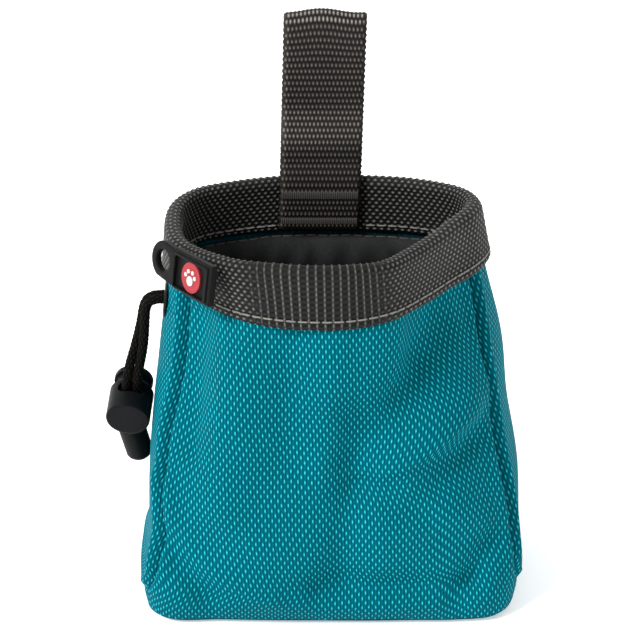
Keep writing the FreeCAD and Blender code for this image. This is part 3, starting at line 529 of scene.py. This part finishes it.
# The belt loop from its inner sewn end to its outer one, as (y, z).
LOOP_PATH = [
    (27.35, 79.2), (26.75, 84), (26.35, 88.5), (26.15, 91.5), (26.5, 94.3), (27.1, 97.0), (27.1, 99.4),
    (27.25, 102), (27.55, 105), (27.7, 109), (27.3, 114), (26.8, 120), (26.5, 126), (26.6, 130.5),
    (27.6, 133.6), (29.4, 134.5), (31.2, 133.6), (32.3, 130.5), (32.7, 126), (32.9, 115), (32.6, 106),
    (32.1, 100), (31.7, 97.0), (31.95, 94.3), (32.2, 91.5), (32.35, 88.5), (32.6, 84), (32.85, 80.4),
]


def make_loop_webbing():
    """The belt loop's webbing along its path, with its woven relief on both faces."""
    line, run = path_along(LOOP_PATH, 0.26)
    along = unit(np.gradient(line, axis=0))
    side = np.stack([along[:, 1], -along[:, 0]], axis=1)
    half = LOOP_WIDE / 2
    across = np.linspace(-half, half, round(LOOP_WIDE / 0.22) + 1)
    ends = np.clip(np.minimum(run, run[-1] - run) / 0.6, 0, 1)[:, None]
    faces_out = []
    shades = []
    for sign in (1, -1):
        a, b = np.meshgrid(run, across, indexing="ij")
        height = grains(a, b, LOOP_PITCH, LOOP_ROW)
        edge = np.clip((half - abs(b)) / 0.9, 0, 1)
        lift = (WEB / 2 - 0.14) * np.sqrt(1 - (1 - edge) ** 2) * ends + RELIEF * height * edge * ends
        y = line[:, :1] + side[:, :1] * sign * lift
        z = line[:, 1:] + side[:, 1:] * sign * lift
        notch = 0.16 * np.cos(2 * math.pi * a / LOOP_PITCH) * np.sign(b) * (1 - edge)
        z = z + LOOP_CROWN * np.clip((z - 120) / 15, 0, 1) * (np.cos(math.pi * (b + 1) / 9) - 0.2)
        x = LOOP_X + b + notch + LOOP_LEAN * (z - 115)
        faces_out.append(np.stack([x, y, z], axis=2))
        # The relief colours the loop: painted shade in its low cells and painted light on its grains. Painted
        # light is also added in a band round z 106.5 and along the left edge, and a painted highlight on the
        # fold at the top.
        painted_light = 0.2 * np.exp(-(((z - 106.5) / 5.0) ** 4)) + 0.22 * np.clip((-b - half + 1.8) / 0.9, 0, 1)
        shades.append(height * edge * (1 + 0.5 * np.clip((z - 132.6) / 0.8, 0, 1)) + painted_light)
    ring = np.concatenate([faces_out[0], faces_out[1][:, ::-1]], axis=1)
    shade = np.concatenate([shades[0], shades[1][:, ::-1]], axis=1)
    faces = grid_faces(ring.shape[0], ring.shape[1], closed=True)
    return new_mesh("belt_loop_webbing", ring.reshape(-1, 3), faces, relief=shade)


# ---- stitches, tapes and cords

SEAM_STITCH, SEAM_THREAD = 2.75, 0.42
TUNNEL_STITCH, TUNNEL_THREAD = 2.9, 0.4
# The belt loop's bar tacks: the height of each row's middle and how tall it is.
BAR_TACKS = ((88.9, 2.2), (81.8, 1.8))
TACKS_EACH_SIDE, TACK_STEP = 20, 0.46


def stitches(name, places, thread, sag=0.0):
    """Short rounded threads, each given as (start, end, outward direction) in millimetres."""
    points, faces = [], []
    shares = np.array([0, 0.06, 0.2, 0.5, 0.8, 0.94, 1])
    widths = np.array([0.25, 0.8, 1, 1, 1, 0.8, 0.25]) * thread / 2
    sides = 8
    turn = np.arange(sides) / sides * 2 * math.pi
    for start, end, out in places:
        side = unit(np.cross(end - start, out))
        first = len(points)
        for share, width in zip(shares, widths):
            dip = sag * (1 - math.sin(math.pi * share)) ** 2
            centre = start + (end - start) * share - out * dip
            points.extend(centre + width * (side * math.cos(t) + out * math.sin(t)) for t in turn)
        faces.extend([[v + first for v in f] for f in grid_faces(len(shares), sides, closed=True)])
        last = len(points) - sides
        faces.append([first + k for k in range(sides)][::-1])
        faces.append([last + k for k in range(sides)])
    return new_mesh(name, points, faces)


def row_round(height, offset, step, skip=None, surface=sideways):
    """Places at even steps round a surface of the bag at a height, with directions out of it."""
    base, out = surface(np.array([height, height - 0.01]), np.arange(1600) / 1600 * COLUMNS)
    line = (base + out * offset)[0]
    closed = np.concatenate([line, line[:1]])
    directions = np.concatenate([out[0], out[0][:1]])
    run = run_along(closed)
    count = round(run[-1] / step)

    def at(share):
        place, facing = (np.array([np.interp(share * run[-1], run, rows[:, k]) for k in range(3)])
                         for rows in (closed, directions))
        return place, unit(facing)

    places = []
    for k in range(count):
        (start, out_start), (end, _) = at((k + 0.08) / count), at((k + 0.92) / count)
        if skip is None or not skip(start):
            places.append((start, end, out_start))
    return places


def behind_loop(place):
    """Whether a stitch at the rim's back would lie under the belt loop's webbing."""
    return place[1] > 20 and abs(place[0] - LOOP_X) < LOOP_WIDE / 2 + 0.5


def make_band_stitches():
    """The seam that holds the binding, on its outside and its inside."""
    outside = row_round(STITCH_Z, WEB + RELIEF - 0.02, SEAM_STITCH, behind_loop)
    inside = row_round(STITCH_Z, -FABRIC - WEB - RELIEF + 0.02, SEAM_STITCH, behind_loop)
    return stitches("rim_binding_seam", outside + [(s, e, -o) for s, e, o in inside], SEAM_THREAD, 0.12)


def make_bar_tacks():
    """Two dense rows of satin stitches that hold each ply of the belt loop at the rim."""
    line, _ = path_along(LOOP_PATH, 0.1)
    places = []
    for z_mid, tall in BAR_TACKS:
        for inner in (True, False):
            half = line[:len(line) // 2] if inner else line[len(line) // 2:]
            for k in range(-TACKS_EACH_SIDE, TACKS_EACH_SIDE + 1):
                x = LOOP_X + k * TACK_STEP + LOOP_LEAN * (z_mid - 115)
                ends = []
                for z in (z_mid - tall / 2, z_mid + tall / 2):
                    y = half[np.argmin(abs(half[:, 1] - z)), 0]
                    ends.append(np.array([x, y + (-1 if inner else 1) * (WEB / 2 + 0.22), z]))
                places.append((ends[0], ends[1], np.array([0.0, -1.0 if inner else 1.0, 0.0])))
    return stitches("belt_loop_bar_tacks", places, SEAM_THREAD, 0.15)


def make_tunnel_tape():
    """The tape sewn inside below the binding, bulged by the drawstring that it holds."""
    share = np.linspace(0, 1, 31)
    heights = TUNNEL_HIGH + (TUNNEL_LOW - TUNNEL_HIGH) * share
    count = 528
    u = np.arange(count) / count * COLUMNS
    base, out = skin(heights, u)
    bulge = np.sin(math.pi * share) ** 0.55
    gathers = 0.10 * np.sin(2 * math.pi * np.arange(count) / 13.2)[None, :]
    pucker = 1 + gathers * np.sin(math.pi * share)[:, None] ** 2
    offset = -FABRIC - 0.35 - (TUNNEL_DEPTH - 0.35) * bulge[:, None] * pucker
    grid = base + out * offset[..., None]
    faces = [f[::-1] for f in grid_faces(len(grid), count, closed=True)]
    down = np.broadcast_to(heights[:, None], grid.shape[:2])
    uv = np.stack([lengths_round(grid, closed=True), down], axis=2)
    tape = new_mesh("drawstring_tunnel_band", grid.reshape(-1, 3), faces, uv.reshape(-1, 2))
    return thicken(tape, 0.45)


def make_tunnel_stitches():
    """The two rows that sew the tunnel's tape to the bag, seen inside."""
    rows = []
    for height in (TUNNEL_HIGH - 0.25, TUNNEL_LOW + 0.25):
        row = row_round(height, -FABRIC - 1.05, TUNNEL_STITCH, surface=skin)
        rows += [(s, e, -o) for s, e, o in row]
    return stitches("tunnel_tape_seams", rows, TUNNEL_THREAD, 0.1)


def make_seam_binding(name, grid, low, high, seam_row):
    """The tape folded over a gusset's seam allowance, which stands inwards all along the seam."""
    first = int(np.argmin(abs(grid[:, 0, 2] - (TUNNEL_LOW - 1))))
    down = [grid[i, low * PER] for i in range(first, seam_row, 3)]
    under = [grid[seam_row, j] for j in range(low * PER, high * PER + 1, 3)]
    up = [grid[i, high * PER] for i in range(seam_row - 3, first, -3)]
    line, _ = path_along(np.array(down + under + up), 0.5)
    middle = np.array([0.5, 0.0, 0.0])
    inwards = middle - line
    inwards[:, 2] = np.clip((16 - line[:, 2]) / 10, 0, 1) * np.linalg.norm(inwards[:, :2], axis=1)
    inwards = unit(inwards)
    along = unit(np.gradient(line, axis=0))
    side = unit(np.cross(inwards, along))
    outer = [(FABRIC + 0.1, 0.62), (2.6, 0.6), (3.9, 0.55), (4.45, 0.3)]
    section = outer + [(4.6, 0)] + [(deep, -wide) for deep, wide in outer[::-1]]
    wave = 0.12 * np.sin(np.arange(len(line)) * 0.55)[:, None]
    rings = np.stack([line + inwards * deep + side * (wide + wave) for deep, wide in section], axis=1)
    faces = grid_faces(rings.shape[0], rings.shape[1], closed=True)
    return new_mesh(name, rings.reshape(-1, 3), faces)


def mesh_of_curve(curve):
    """The mesh that a curve makes; the curve itself is removed."""
    holder = bpy.data.objects.new(curve.name, curve)
    mesh = bpy.data.meshes.new_from_object(holder)
    bpy.data.objects.remove(holder)
    bpy.data.curves.remove(curve)
    return mesh


def nurbs_line(name, route, resolution):
    """Places along the smooth NURBS spline whose control points are the cord's route, in millimetres."""
    data = bpy.data.curves.new(name, "CURVE")
    data.dimensions = "3D"
    spline = data.splines.new("NURBS")
    spline.points.add(len(route) - 1)
    for point, place in zip(spline.points, route):
        point.co = (*(Vector(place) * MM), 1)
    spline.order_u = 3
    spline.use_endpoint_u = True
    spline.resolution_u = resolution
    mesh = mesh_of_curve(data)
    places = np.array([v.co for v in mesh.vertices], float) / MM
    bpy.data.meshes.remove(mesh)
    return places


def braided_cord(name, line, step=0.13, sides=48, carriers=8, rise=2.1):
    """A round braid along a line: two families of strands that pass over and under each other."""
    run = run_along(line)
    places = np.linspace(0, run[-1], round(run[-1] / step) + 1)
    centres = np.stack([np.interp(places, run, line[:, k]) for k in range(3)], axis=1)
    turn = np.arange(sides) / sides
    s, t = np.meshgrid(places / rise, turn * carriers, indexing="ij")
    one, two = s + t, s - t
    over = (np.floor(one) + np.floor(two)) % 2 == 0
    across = np.where(over, two, one) % 1
    ahead = np.where(over, one, two) % 1
    strand = np.sin(math.pi * across) ** 0.8 * (0.55 + 0.45 * np.sin(math.pi * ahead))
    # The strands' height is also the cord's relief, which its finish turns into painted light on the strands'
    # crowns and painted shade between them.
    radii = CORD / 2 - 0.26 + 0.3 * strand
    return tube_mesh(name, centres, radii, sides)


# The cord lock's frame, as in the CAD model, and the spring between its floor and its button.
LOCK_CENTRE = np.array([-48.6, 1.5, 44.4])
LOCK_CORD = np.array([0.10, -0.40, 0.91])
LOCK_AXIS = np.array([-0.07, -0.91, -0.41])
LOCK_CLOSED_END, LOCK_FLOOR = 6.4, 1.0
SPRING_WIRE, SPRING_ACROSS, SPRING_LONG, SPRING_TURNS = 0.35, 5.6, 2.7, 2
SPRING_STEPS, SPRING_SIDES = 160, 12


def lock_frame():
    """The point on the lock's floor and the directions towards its button and across it."""
    cord = unit(LOCK_CORD)
    button = unit(cord * (LOCK_AXIS @ cord) - LOCK_AXIS)
    floor = LOCK_CENTRE - button * (LOCK_CLOSED_END - LOCK_FLOOR)
    return floor, button, cord, np.cross(button, cord)


def make_spring():
    """The coil spring that pushes the lock's button out."""
    floor, button, cord, side = lock_frame()
    share = np.linspace(0, 1, SPRING_STEPS)[:, None]
    turn = share * SPRING_TURNS * 2 * math.pi
    rise = SPRING_WIRE / 2 + 0.05 + share * SPRING_LONG
    centres = floor + button * rise + SPRING_ACROSS / 2 * (cord * np.cos(turn) + side * np.sin(turn))
    radii = np.full((SPRING_STEPS, SPRING_SIDES), SPRING_WIRE / 2)
    return tube_mesh("lock_spring_wire", centres, radii, SPRING_SIDES, shaded=False)


TAG_CENTRE = Vector((-30.32, -22.26, 87.5))
TAG_ALONG = Vector((0.609, -0.793, 0)).normalized()
TAG_LEAN = math.radians(8)
TAG_LONG, TAG_TALL, TAG_THICK = 15.0, 9.7, 2.0
RING_CENTRE, RING_ACROSS, RING_HOLE, RING_THICK = (-11.8, 0.3), 9.2, 5.2, 1.7


def rounded_box(left, low, right, high, radius):
    """Outline of a rectangle with rounded corners, as points round it."""
    corners = [(right - radius, high - radius, 0), (left + radius, high - radius, 90),
               (left + radius, low + radius, 180), (right - radius, low + radius, 270)]
    turns = [(x, y, math.radians(start + k * 15)) for x, y, start in corners for k in range(7)]
    return [(x + radius * math.cos(t), y + radius * math.sin(t)) for x, y, t in turns]


def circle_points(centre, across, start=0, end=360, count=48):
    """Points on a circle or an arc of one, both ends included."""
    turns = [math.radians(start + (end - start) * k / count) for k in range(count + (end - start < 360))]
    return [(centre[0] + across / 2 * math.cos(t), centre[1] + across / 2 * math.sin(t)) for t in turns]


def moulded(name, outlines, low, high, rounding):
    """A flat moulding with rounded edges; the first outline is its edge and the others are holes."""
    data = bpy.data.curves.new(name, "CURVE")
    data.dimensions, data.fill_mode = "2D", "BOTH"
    for outline in outlines:
        spline = data.splines.new("POLY")
        spline.points.add(len(outline) - 1)
        for point, (x, y) in zip(spline.points, outline):
            point.co = (x, y, 0, 1)
        spline.use_cyclic_u = True
    data.extrude = (high - low) / 2 - rounding
    data.bevel_depth, data.bevel_resolution, data.offset = rounding, 3, -rounding
    mesh = mesh_of_curve(data)
    mesh.transform(Matrix.Translation((0, 0, (low + high) / 2)))
    return mesh


def make_tag():
    """The rubber tag: a back plate, a raised frame with a wide right border, a ring and its neck."""
    half, tall = TAG_LONG / 2, TAG_TALL / 2
    plate = rounded_box(-half, -tall, half, tall, 0.5)
    field = rounded_box(-half + 0.9, -tall + 0.8, half - 2.3, tall - 1.5, 0.3)
    step = rounded_box(-half + 0.5, -tall + 0.45, half - 1.2, tall - 0.8, 0.4)
    neck = circle_points(RING_CENTRE, RING_ACROSS, 90, 245)
    neck += [(-half + 0.6, -tall + 0.2), (-half + 0.6, tall - 0.4)]
    parts = [
        moulded("plate", [plate], 0, TAG_THICK - 0.9, 0.2),
        moulded("border", [plate, field], 0.6, TAG_THICK - 0.35, 0.3),
        moulded("frame", [step, field], 1.0, TAG_THICK, 0.18),
        moulded("ring", [neck, circle_points(RING_CENTRE, RING_HOLE)], 0, RING_THICK, 0.4),
    ]
    turn = Matrix.Rotation(-TAG_LEAN, 3, TAG_ALONG)
    up, out = turn @ Vector((0, 0, 1)), turn @ TAG_ALONG.cross(Vector((0, 0, 1)))
    place = Matrix((TAG_ALONG, up, out)).transposed().to_4x4()
    place.translation = TAG_CENTRE
    joined = bmesh.new()
    for part in parts:
        joined.from_mesh(part)
        bpy.data.meshes.remove(part)
    bmesh.ops.remove_doubles(joined, verts=joined.verts, dist=0.001)
    mesh = bpy.data.meshes.new("tag_rubber")
    joined.to_mesh(mesh)
    joined.free()
    mesh.transform(Matrix.Diagonal((MM, MM, MM, 1)) @ place)
    mesh.shade_smooth()
    mesh.set_sharp_from_angle(angle=math.radians(40))
    return add_object("tag_rubber", mesh)


def tunnel_route():
    """The drawstring's line inside its tunnel: in at the eyelet, round the bag and out beside itself."""
    base, out = skin(np.array([71.0, 70.9]), np.arange(COLUMNS * 10) / 10)
    inset = (base + out * (CORD / 2 + 0.55 - FABRIC - TUNNEL_DEPTH))[0, ::10]
    round_bag = [tuple(inset[column % COLUMNS]) for column in range(7, COLUMNS + 6)]
    ends = [(-40.3, LEFT_END[0][1], 71.0), (-38.0, LEFT_END[0][1], 71.0)]
    backs = [(-38.0, RIGHT_END[0][1], 71.0), (-40.3, RIGHT_END[0][1], 71.0)]
    return ends + round_bag + backs


# ---- finishes


def rgb(red, green, blue):
    """A colour given as display values from 0 to 255, as the linear colour that a shader takes."""
    linear = [v / 255 / 12.92 if v <= 10 else ((v / 255 + 0.055) / 1.055) ** 2.4 for v in (red, green, blue)]
    return (*linear, 1)


class Finish:
    """A material in the making. Its methods add nodes and return the sockets that carry their results."""

    def __init__(self, name, roughness, **sockets):
        self.material = bpy.data.materials.new(name)
        self.material.use_nodes = True
        self.tree = self.material.node_tree
        self.shader = self.tree.nodes["Principled BSDF"]
        self.connect(self.shader, {"Roughness": roughness, **sockets})

    def connect(self, node, sockets):
        """Sets a node's inputs, by name or number, to values or links them to sockets."""
        for key, value in sockets.items():
            if isinstance(value, bpy.types.NodeSocket):
                self.tree.links.new(value, node.inputs[key])
            else:
                node.inputs[key].default_value = value
        return node

    def node(self, kind, sockets=None, **settings):
        """Adds a node of a kind with its settings and inputs."""
        made = self.tree.nodes.new("ShaderNode" + kind)
        for key, value in settings.items():
            setattr(made, key, value)
        return self.connect(made, sockets or {})

    def maths(self, operation, a, b=0.0, c=0.0):
        """The result of a maths operation."""
        return self.node("Math", {0: a, 1: b, 2: c}, operation=operation).outputs[0]

    def place(self):
        """The object's own coordinates, in metres."""
        return self.node("TexCoord").outputs["Object"]

    def noise(self, scale, detail=3.0, roughness=0.5):
        """Noise from 0 to 1, at a scale in cells a metre."""
        return self.node("TexNoise", {"Vector": self.place(), "Scale": scale, "Detail": detail,
                                      "Roughness": roughness}).outputs["Fac"]

    def ramp(self, factor, stops):
        """Colours blended along a factor; stops are (place, colour)."""
        made = self.node("ValToRGB", {"Fac": factor})
        elements = made.color_ramp.elements
        while len(elements) < len(stops):
            elements.new(0.5)
        for element, (at, colour) in zip(elements, stops):
            element.position, element.color = at, colour
        return made.outputs["Color"]

    def tint(self, colour, factor, darkest, lightest):
        """A colour made darker or lighter by a factor from 0 to 1."""
        level = self.node("MapRange", {"Value": factor, "From Min": 0.3, "From Max": 0.7,
                                       "To Min": darkest, "To Max": lightest}).outputs[0]
        mixed = self.node("VectorMath", {0: colour, "Scale": level}, operation="SCALE")
        return mixed.outputs[0]

    def finish(self, colour, height=None, deep=0.0):
        """Links the colour and a relief of height times deep millimetres, and returns the material."""
        self.connect(self.shader, {"Base Color": colour})
        if height is not None:
            bump = self.node("Bump", {"Height": height, "Distance": deep * MM, "Strength": 1.0})
            self.connect(self.shader, {"Normal": bump.outputs["Normal"]})
        return self.material


WEAVE_WIDE, WEAVE_TALL = 0.8, 1.2


def woven(name, stops, roughness, deep, sheen):
    """A plain weave: warp floats stand up like the squares of one colour on a chessboard. Its colour has a
    painted highlight dash on each float and painted shade between the yarns.
    """
    cloth = Finish(name, roughness, **{"Sheen Weight": sheen, "Sheen Roughness": 0.4,
                                       "Specular IOR Level": 0.015})
    axes = cloth.node("SeparateXYZ", {0: cloth.node("UVMap", uv_map="weave").outputs[0]})
    wander = cloth.maths("MULTIPLY_ADD", cloth.noise(160, 2.0), 0.5, -0.25)
    across = cloth.maths("SINE", cloth.maths("MULTIPLY", cloth.maths("ADD", axes.outputs[0], wander),
                                             math.pi / WEAVE_WIDE))
    along = cloth.maths("SINE", cloth.maths("MULTIPLY", cloth.maths("ADD", axes.outputs[1], wander),
                                            math.pi / WEAVE_TALL))
    over = cloth.maths("MAXIMUM", cloth.maths("MULTIPLY", across, along), 0.0)
    wide = cloth.maths("ABSOLUTE", across)
    # slim is a painted highlight: a narrow bright dash on each warp float.
    slim = cloth.maths("MULTIPLY", cloth.maths("POWER", wide, 6.0), cloth.maths("POWER", over, 0.7))
    # Painted shade: darker in the gaps between the yarns and on the under cells.
    yarns = cloth.maths("MULTIPLY_ADD", wide, 0.14, cloth.maths("MULTIPLY_ADD", over, 0.3, cloth.maths(
        "MULTIPLY_ADD", cloth.noise(2600, 2.0), 0.14, 0.03)))
    colour = cloth.ramp(cloth.maths("MULTIPLY_ADD", slim, 0.46, yarns), stops)
    colour = cloth.tint(colour, cloth.noise(45, 3.0), 0.94, 1.06)
    height = cloth.maths("MULTIPLY_ADD", over, 0.75, cloth.maths("MULTIPLY", wide, 0.25))
    return cloth.finish(colour, height, deep)


def webbing(name, stops, roughness, shine=0.12):
    """Heavy woven webbing, coloured by the relief that its mesh carries: painted shade in the low cells and
    painted light on the crowns.
    """
    web = Finish(name, roughness, **{"Specular IOR Level": shine})
    relief = web.node("Attribute", attribute_name="relief").outputs["Fac"]
    fibres = web.noise(3800, 2.0)
    # Low relief gives dark painted shade and high relief light painted crowns.
    level = web.maths("MULTIPLY_ADD", fibres, 0.22, web.maths("SUBTRACT", relief, 0.11))
    colour = web.tint(web.ramp(level, stops), web.noise(70, 2.0), 0.9, 1.1)
    return web.finish(colour, fibres, 0.06)


def plain(name, colour, roughness, grain, deep, spread=0.12, shine=0.3, **sockets):
    """Moulded or spun material of one colour with a fine grain; grain is in cells a metre."""
    made = Finish(name, roughness, **{"Specular IOR Level": shine, **sockets})
    fine = made.noise(grain, 3.0)
    shade = made.ramp(made.noise(140, 3.0), [(0.3, colour), (0.7, colour)])
    shade = made.tint(shade, fine, 1 - spread, 1 + spread)
    return made.finish(shade, fine, deep)


def twisted(name, colour, roughness=0.7):
    """Sewing thread: its plies show as fine slanting bands, painted shade in the grooves between them and
    painted light on them.
    """
    thread = Finish(name, roughness, **{"Sheen Weight": 0.2})
    bands = thread.node("TexWave", {"Vector": thread.place(), "Scale": 900.0, "Distortion": 2.0,
                                    "Detail": 1.0}, bands_direction="DIAGONAL").outputs["Fac"]
    shade = thread.tint(thread.ramp(bands, [(0.0, colour), (1.0, colour)]), bands, 0.7, 1.15)
    return thread.finish(shade, bands, 0.03)


def make_finishes():
    """Every material, by name."""
    # The teal's top stop is the painted highlight of the dashes and its low stops the painted shade between
    # the yarns; the coated face's stops do the same, less.
    teal = [(0.0, rgb(0, 57, 69)), (0.2, rgb(0, 88, 102)), (0.4, rgb(0, 121, 137)),
            (0.7, rgb(0, 162, 178)), (1.0, rgb(84, 214, 224))]
    coated = [(0.0, rgb(0, 50, 60)), (1.0, rgb(2, 84, 98))]
    return {
        "teal": woven("teal_polyester", teal, 0.6, 0.3, 0.0),
        "coated": woven("coated_inner_face", coated, 0.38, 0.05, 0.0),
        # The webbing stops run from painted shade in the low cells up to painted light on the crowns; the
        # braid's top stops paint light on its strands' crowns.
        "rim": webbing("grey_rim_webbing", [(0.0, rgb(10, 10, 9)), (0.3, rgb(34, 34, 33)),
                                            (0.65, rgb(78, 78, 75)), (1.0, rgb(146, 146, 141))], 0.6),
        "loop": webbing("grey_loop_webbing", [(0.0, rgb(16, 14, 13)), (0.35, rgb(44, 41, 38)),
                                              (0.7, rgb(74, 71, 67)), (1.0, rgb(140, 135, 128))], 0.6),
        "cord": webbing("black_braid", [(0.0, rgb(2, 2, 2)), (0.84, rgb(6, 6, 5)),
                                        (0.95, rgb(16, 15, 13)), (1.0, rgb(38, 35, 30))], 0.62, 0.04),
        "thread": twisted("grey_thread", rgb(128, 126, 120)),
        "dark_thread": twisted("charcoal_thread", rgb(66, 62, 60)),
        "tape": plain("black_tape", rgb(26, 27, 28), 0.75, 1500, 0.05, 0.3),
        "rubber": plain("black_rubber", rgb(20, 20, 20), 0.5, 2200, 0.02, shine=0.07),
        "plastic": plain("black_plastic", rgb(19, 20, 21), 0.4, 2800, 0.012, shine=0.05),
        "red": plain("red_rubber", rgb(158, 40, 48), 0.5, 2200, 0.015, 0.05),
        "pale": plain("pale_rubber", rgb(208, 200, 198), 0.5, 2200, 0.015, 0.04),
        "steel": plain("spring_steel", rgb(170, 172, 175), 0.28, 900, 0.005, 0.05, Metallic=1.0),
    }


def give(obj, *materials):
    """Replaces an object's materials."""
    obj.data.materials.clear()
    for material in materials:
        obj.data.materials.append(material)


def stand_for(obj, material, body, slot, *nodes):
    """Gives a piece its material and puts it on its body in place of CAD nodes."""
    give(obj, material)
    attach(obj, body)
    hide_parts(*nodes)


# ---- the scene


def make_floor():
    """A pale floor, a little below the object, that curves up behind it. Its places are in metres."""
    drop, bend = 0.0004, 0.6
    turns = np.linspace(0.1, 1.5, 14)
    profile = [(-3.0, -drop), (0.9, -drop)]
    profile += [(0.9 + bend * math.sin(t), bend - bend * math.cos(t) - drop) for t in turns]
    profile.append((1.52, 3.5))
    mesh = bpy.data.meshes.new("floor")
    points = [(x, y, z) for y, z in profile for x in (-4.0, 4.0)]
    mesh.from_pydata(points, [], [(2 * k, 2 * k + 1, 2 * k + 3, 2 * k + 2) for k in range(len(profile) - 1)])
    mesh.shade_smooth()
    floor = add_object("floor", mesh)
    paper = Finish("pale_paper", 0.9, **{"Specular IOR Level": 0.1, "Emission Color": (1, 1, 1, 1),
                                         "Emission Strength": 0.4})
    white = paper.ramp(paper.noise(3), [(0, rgb(253, 253, 253))])
    give(floor, paper.finish(paper.tint(white, paper.noise(3), 0.995, 1.0)))


def add_sun(name, direction, strength, soft):
    """A distant light that shines along a direction; soft is the angle it spreads over, in degrees."""
    data = bpy.data.lights.new(name, "SUN")
    data.energy, data.angle = strength, math.radians(soft)
    light = add_object(name, data)
    light.rotation_mode = "QUATERNION"
    light.rotation_quaternion = Vector(direction).to_track_quat("-Z", "Y")


def make_lights():
    """A broad light from the upper left, a weak one from the right, and a white room."""
    world = bpy.data.worlds.new("room")
    world.use_nodes = True
    room = world.node_tree.nodes["Background"].inputs
    room["Color"].default_value = (1, 1, 1, 1)
    room["Strength"].default_value = 0.4
    bpy.context.scene.world = world
    add_sun("key", (0.75, 0.55, -0.8), 3.3, 22)
    add_sun("fill", (-0.85, 0.5, -0.3), 0.35, 45)
    view = bpy.context.scene.view_settings
    view.view_transform = "Standard"
    view.look = "None"


def build_bag(finishes):
    """The fabric, the rim's binding, the tunnel's tape and the seams' tapes."""
    rows_z = bag_rows()
    grid, _ = skin(rows_z)
    seam_row = int(np.argmin(abs(rows_z - SEAM_ROW)))
    strip = thicken(make_strip(grid, seam_row), FABRIC, 1)
    sides = [("left_gusset", LEFT_SEAM, LEFT_BACK), ("right_gusset", RIGHT_BACK, RIGHT_SEAM)]
    stand_for(strip, finishes["teal"], "pouch", "teal_fabric", "front_base_back_panel")
    strip.data.materials.append(finishes["coated"])
    for node, low, high in sides:
        gusset = thicken(make_gusset(node + "_fabric", grid, low, high, seam_row), FABRIC, 1)
        stand_for(gusset, finishes["teal"], "pouch", "teal_fabric", node)
        gusset.data.materials.append(finishes["coated"])
        tape_node = node.replace("gusset", "seam_binding")
        tape = make_seam_binding(tape_node + "_tape", grid, low, high, seam_row)
        stand_for(tape, finishes["tape"], "pouch", "black_tape", tape_node)
    stand_for(make_band(), finishes["rim"], "pouch", "rim_webbing", "rim_binding")
    stand_for(make_band_stitches(), finishes["thread"], "pouch", "grey_thread", "rim_binding_stitches")
    stand_for(make_tunnel_tape(), finishes["tape"], "pouch", "black_tape", "drawstring_tunnel_tape")
    rows = make_tunnel_stitches()
    give(rows, finishes["dark_thread"])
    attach(rows, "pouch")


def build_loop(finishes):
    """The belt loop's webbing, sewn inside and outside the rim's back, and its bar tacks."""
    loop = make_loop_webbing()
    give(loop, finishes["loop"])
    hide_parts("belt_loop", "belt_loop_tails")
    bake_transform(loop)
    stand_for(make_bar_tacks(), finishes["dark_thread"], "pouch", "black_thread", "belt_loop_stitches")


def build_cords(finishes):
    """The drawstring: its run in the tunnel and the two braided ends that hang from the eyelet."""
    hidden = nurbs_line("tunnel_line", tunnel_route(), 24)
    run = braided_cord("drawstring_in_tunnel", hidden, step=0.4, sides=16)
    stand_for(run, finishes["cord"], "pouch", "black_cord", "drawstring")
    for side, route in (("left", LEFT_END), ("right", RIGHT_END)):
        line = nurbs_line(side + "_line", route, 40)
        cord = braided_cord(f"cord_end_{side}", line)
        stand_for(cord, finishes["cord"], "pouch", "black_cord", "drawstring_end_" + side)


def build_tag(finishes):
    """The rubber tag on the rim's left front; its emblem is a CAD piece."""
    stand_for(make_tag(), finishes["rubber"], "pouch", "black_rubber", "rubber_tag")


def build_spring(finishes):
    """The lock's spring, which the button presses together."""
    spring = make_spring()
    stand_for(spring, finishes["steel"], "cord_lock", "spring_steel", "cord_lock_spring")
    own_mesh(spring)


def finish_cad_nodes(finishes, nodes):
    """Materials of the moulded pieces and the knot, whose CAD shapes are the ones shown."""
    for finish, names in {
        "plastic": ("eyelet", "eyelet_washer", "cord_lock_barrel", "cord_lock_plunger"),
        "rubber": ("cord_end_bell",), "cord": ("cord_end_knot",),
        "red": ("tag_emblem",), "pale": ("tag_paw_print",),
    }.items():
        for name in names:
            give(nodes[name], finishes[finish])


finishes = make_finishes()
make_floor()
make_lights()
build_cords(finishes)
build_bag(finishes)
build_loop(finishes)
build_tag(finishes)
build_spring(finishes)
finish_cad_nodes(finishes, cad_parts)
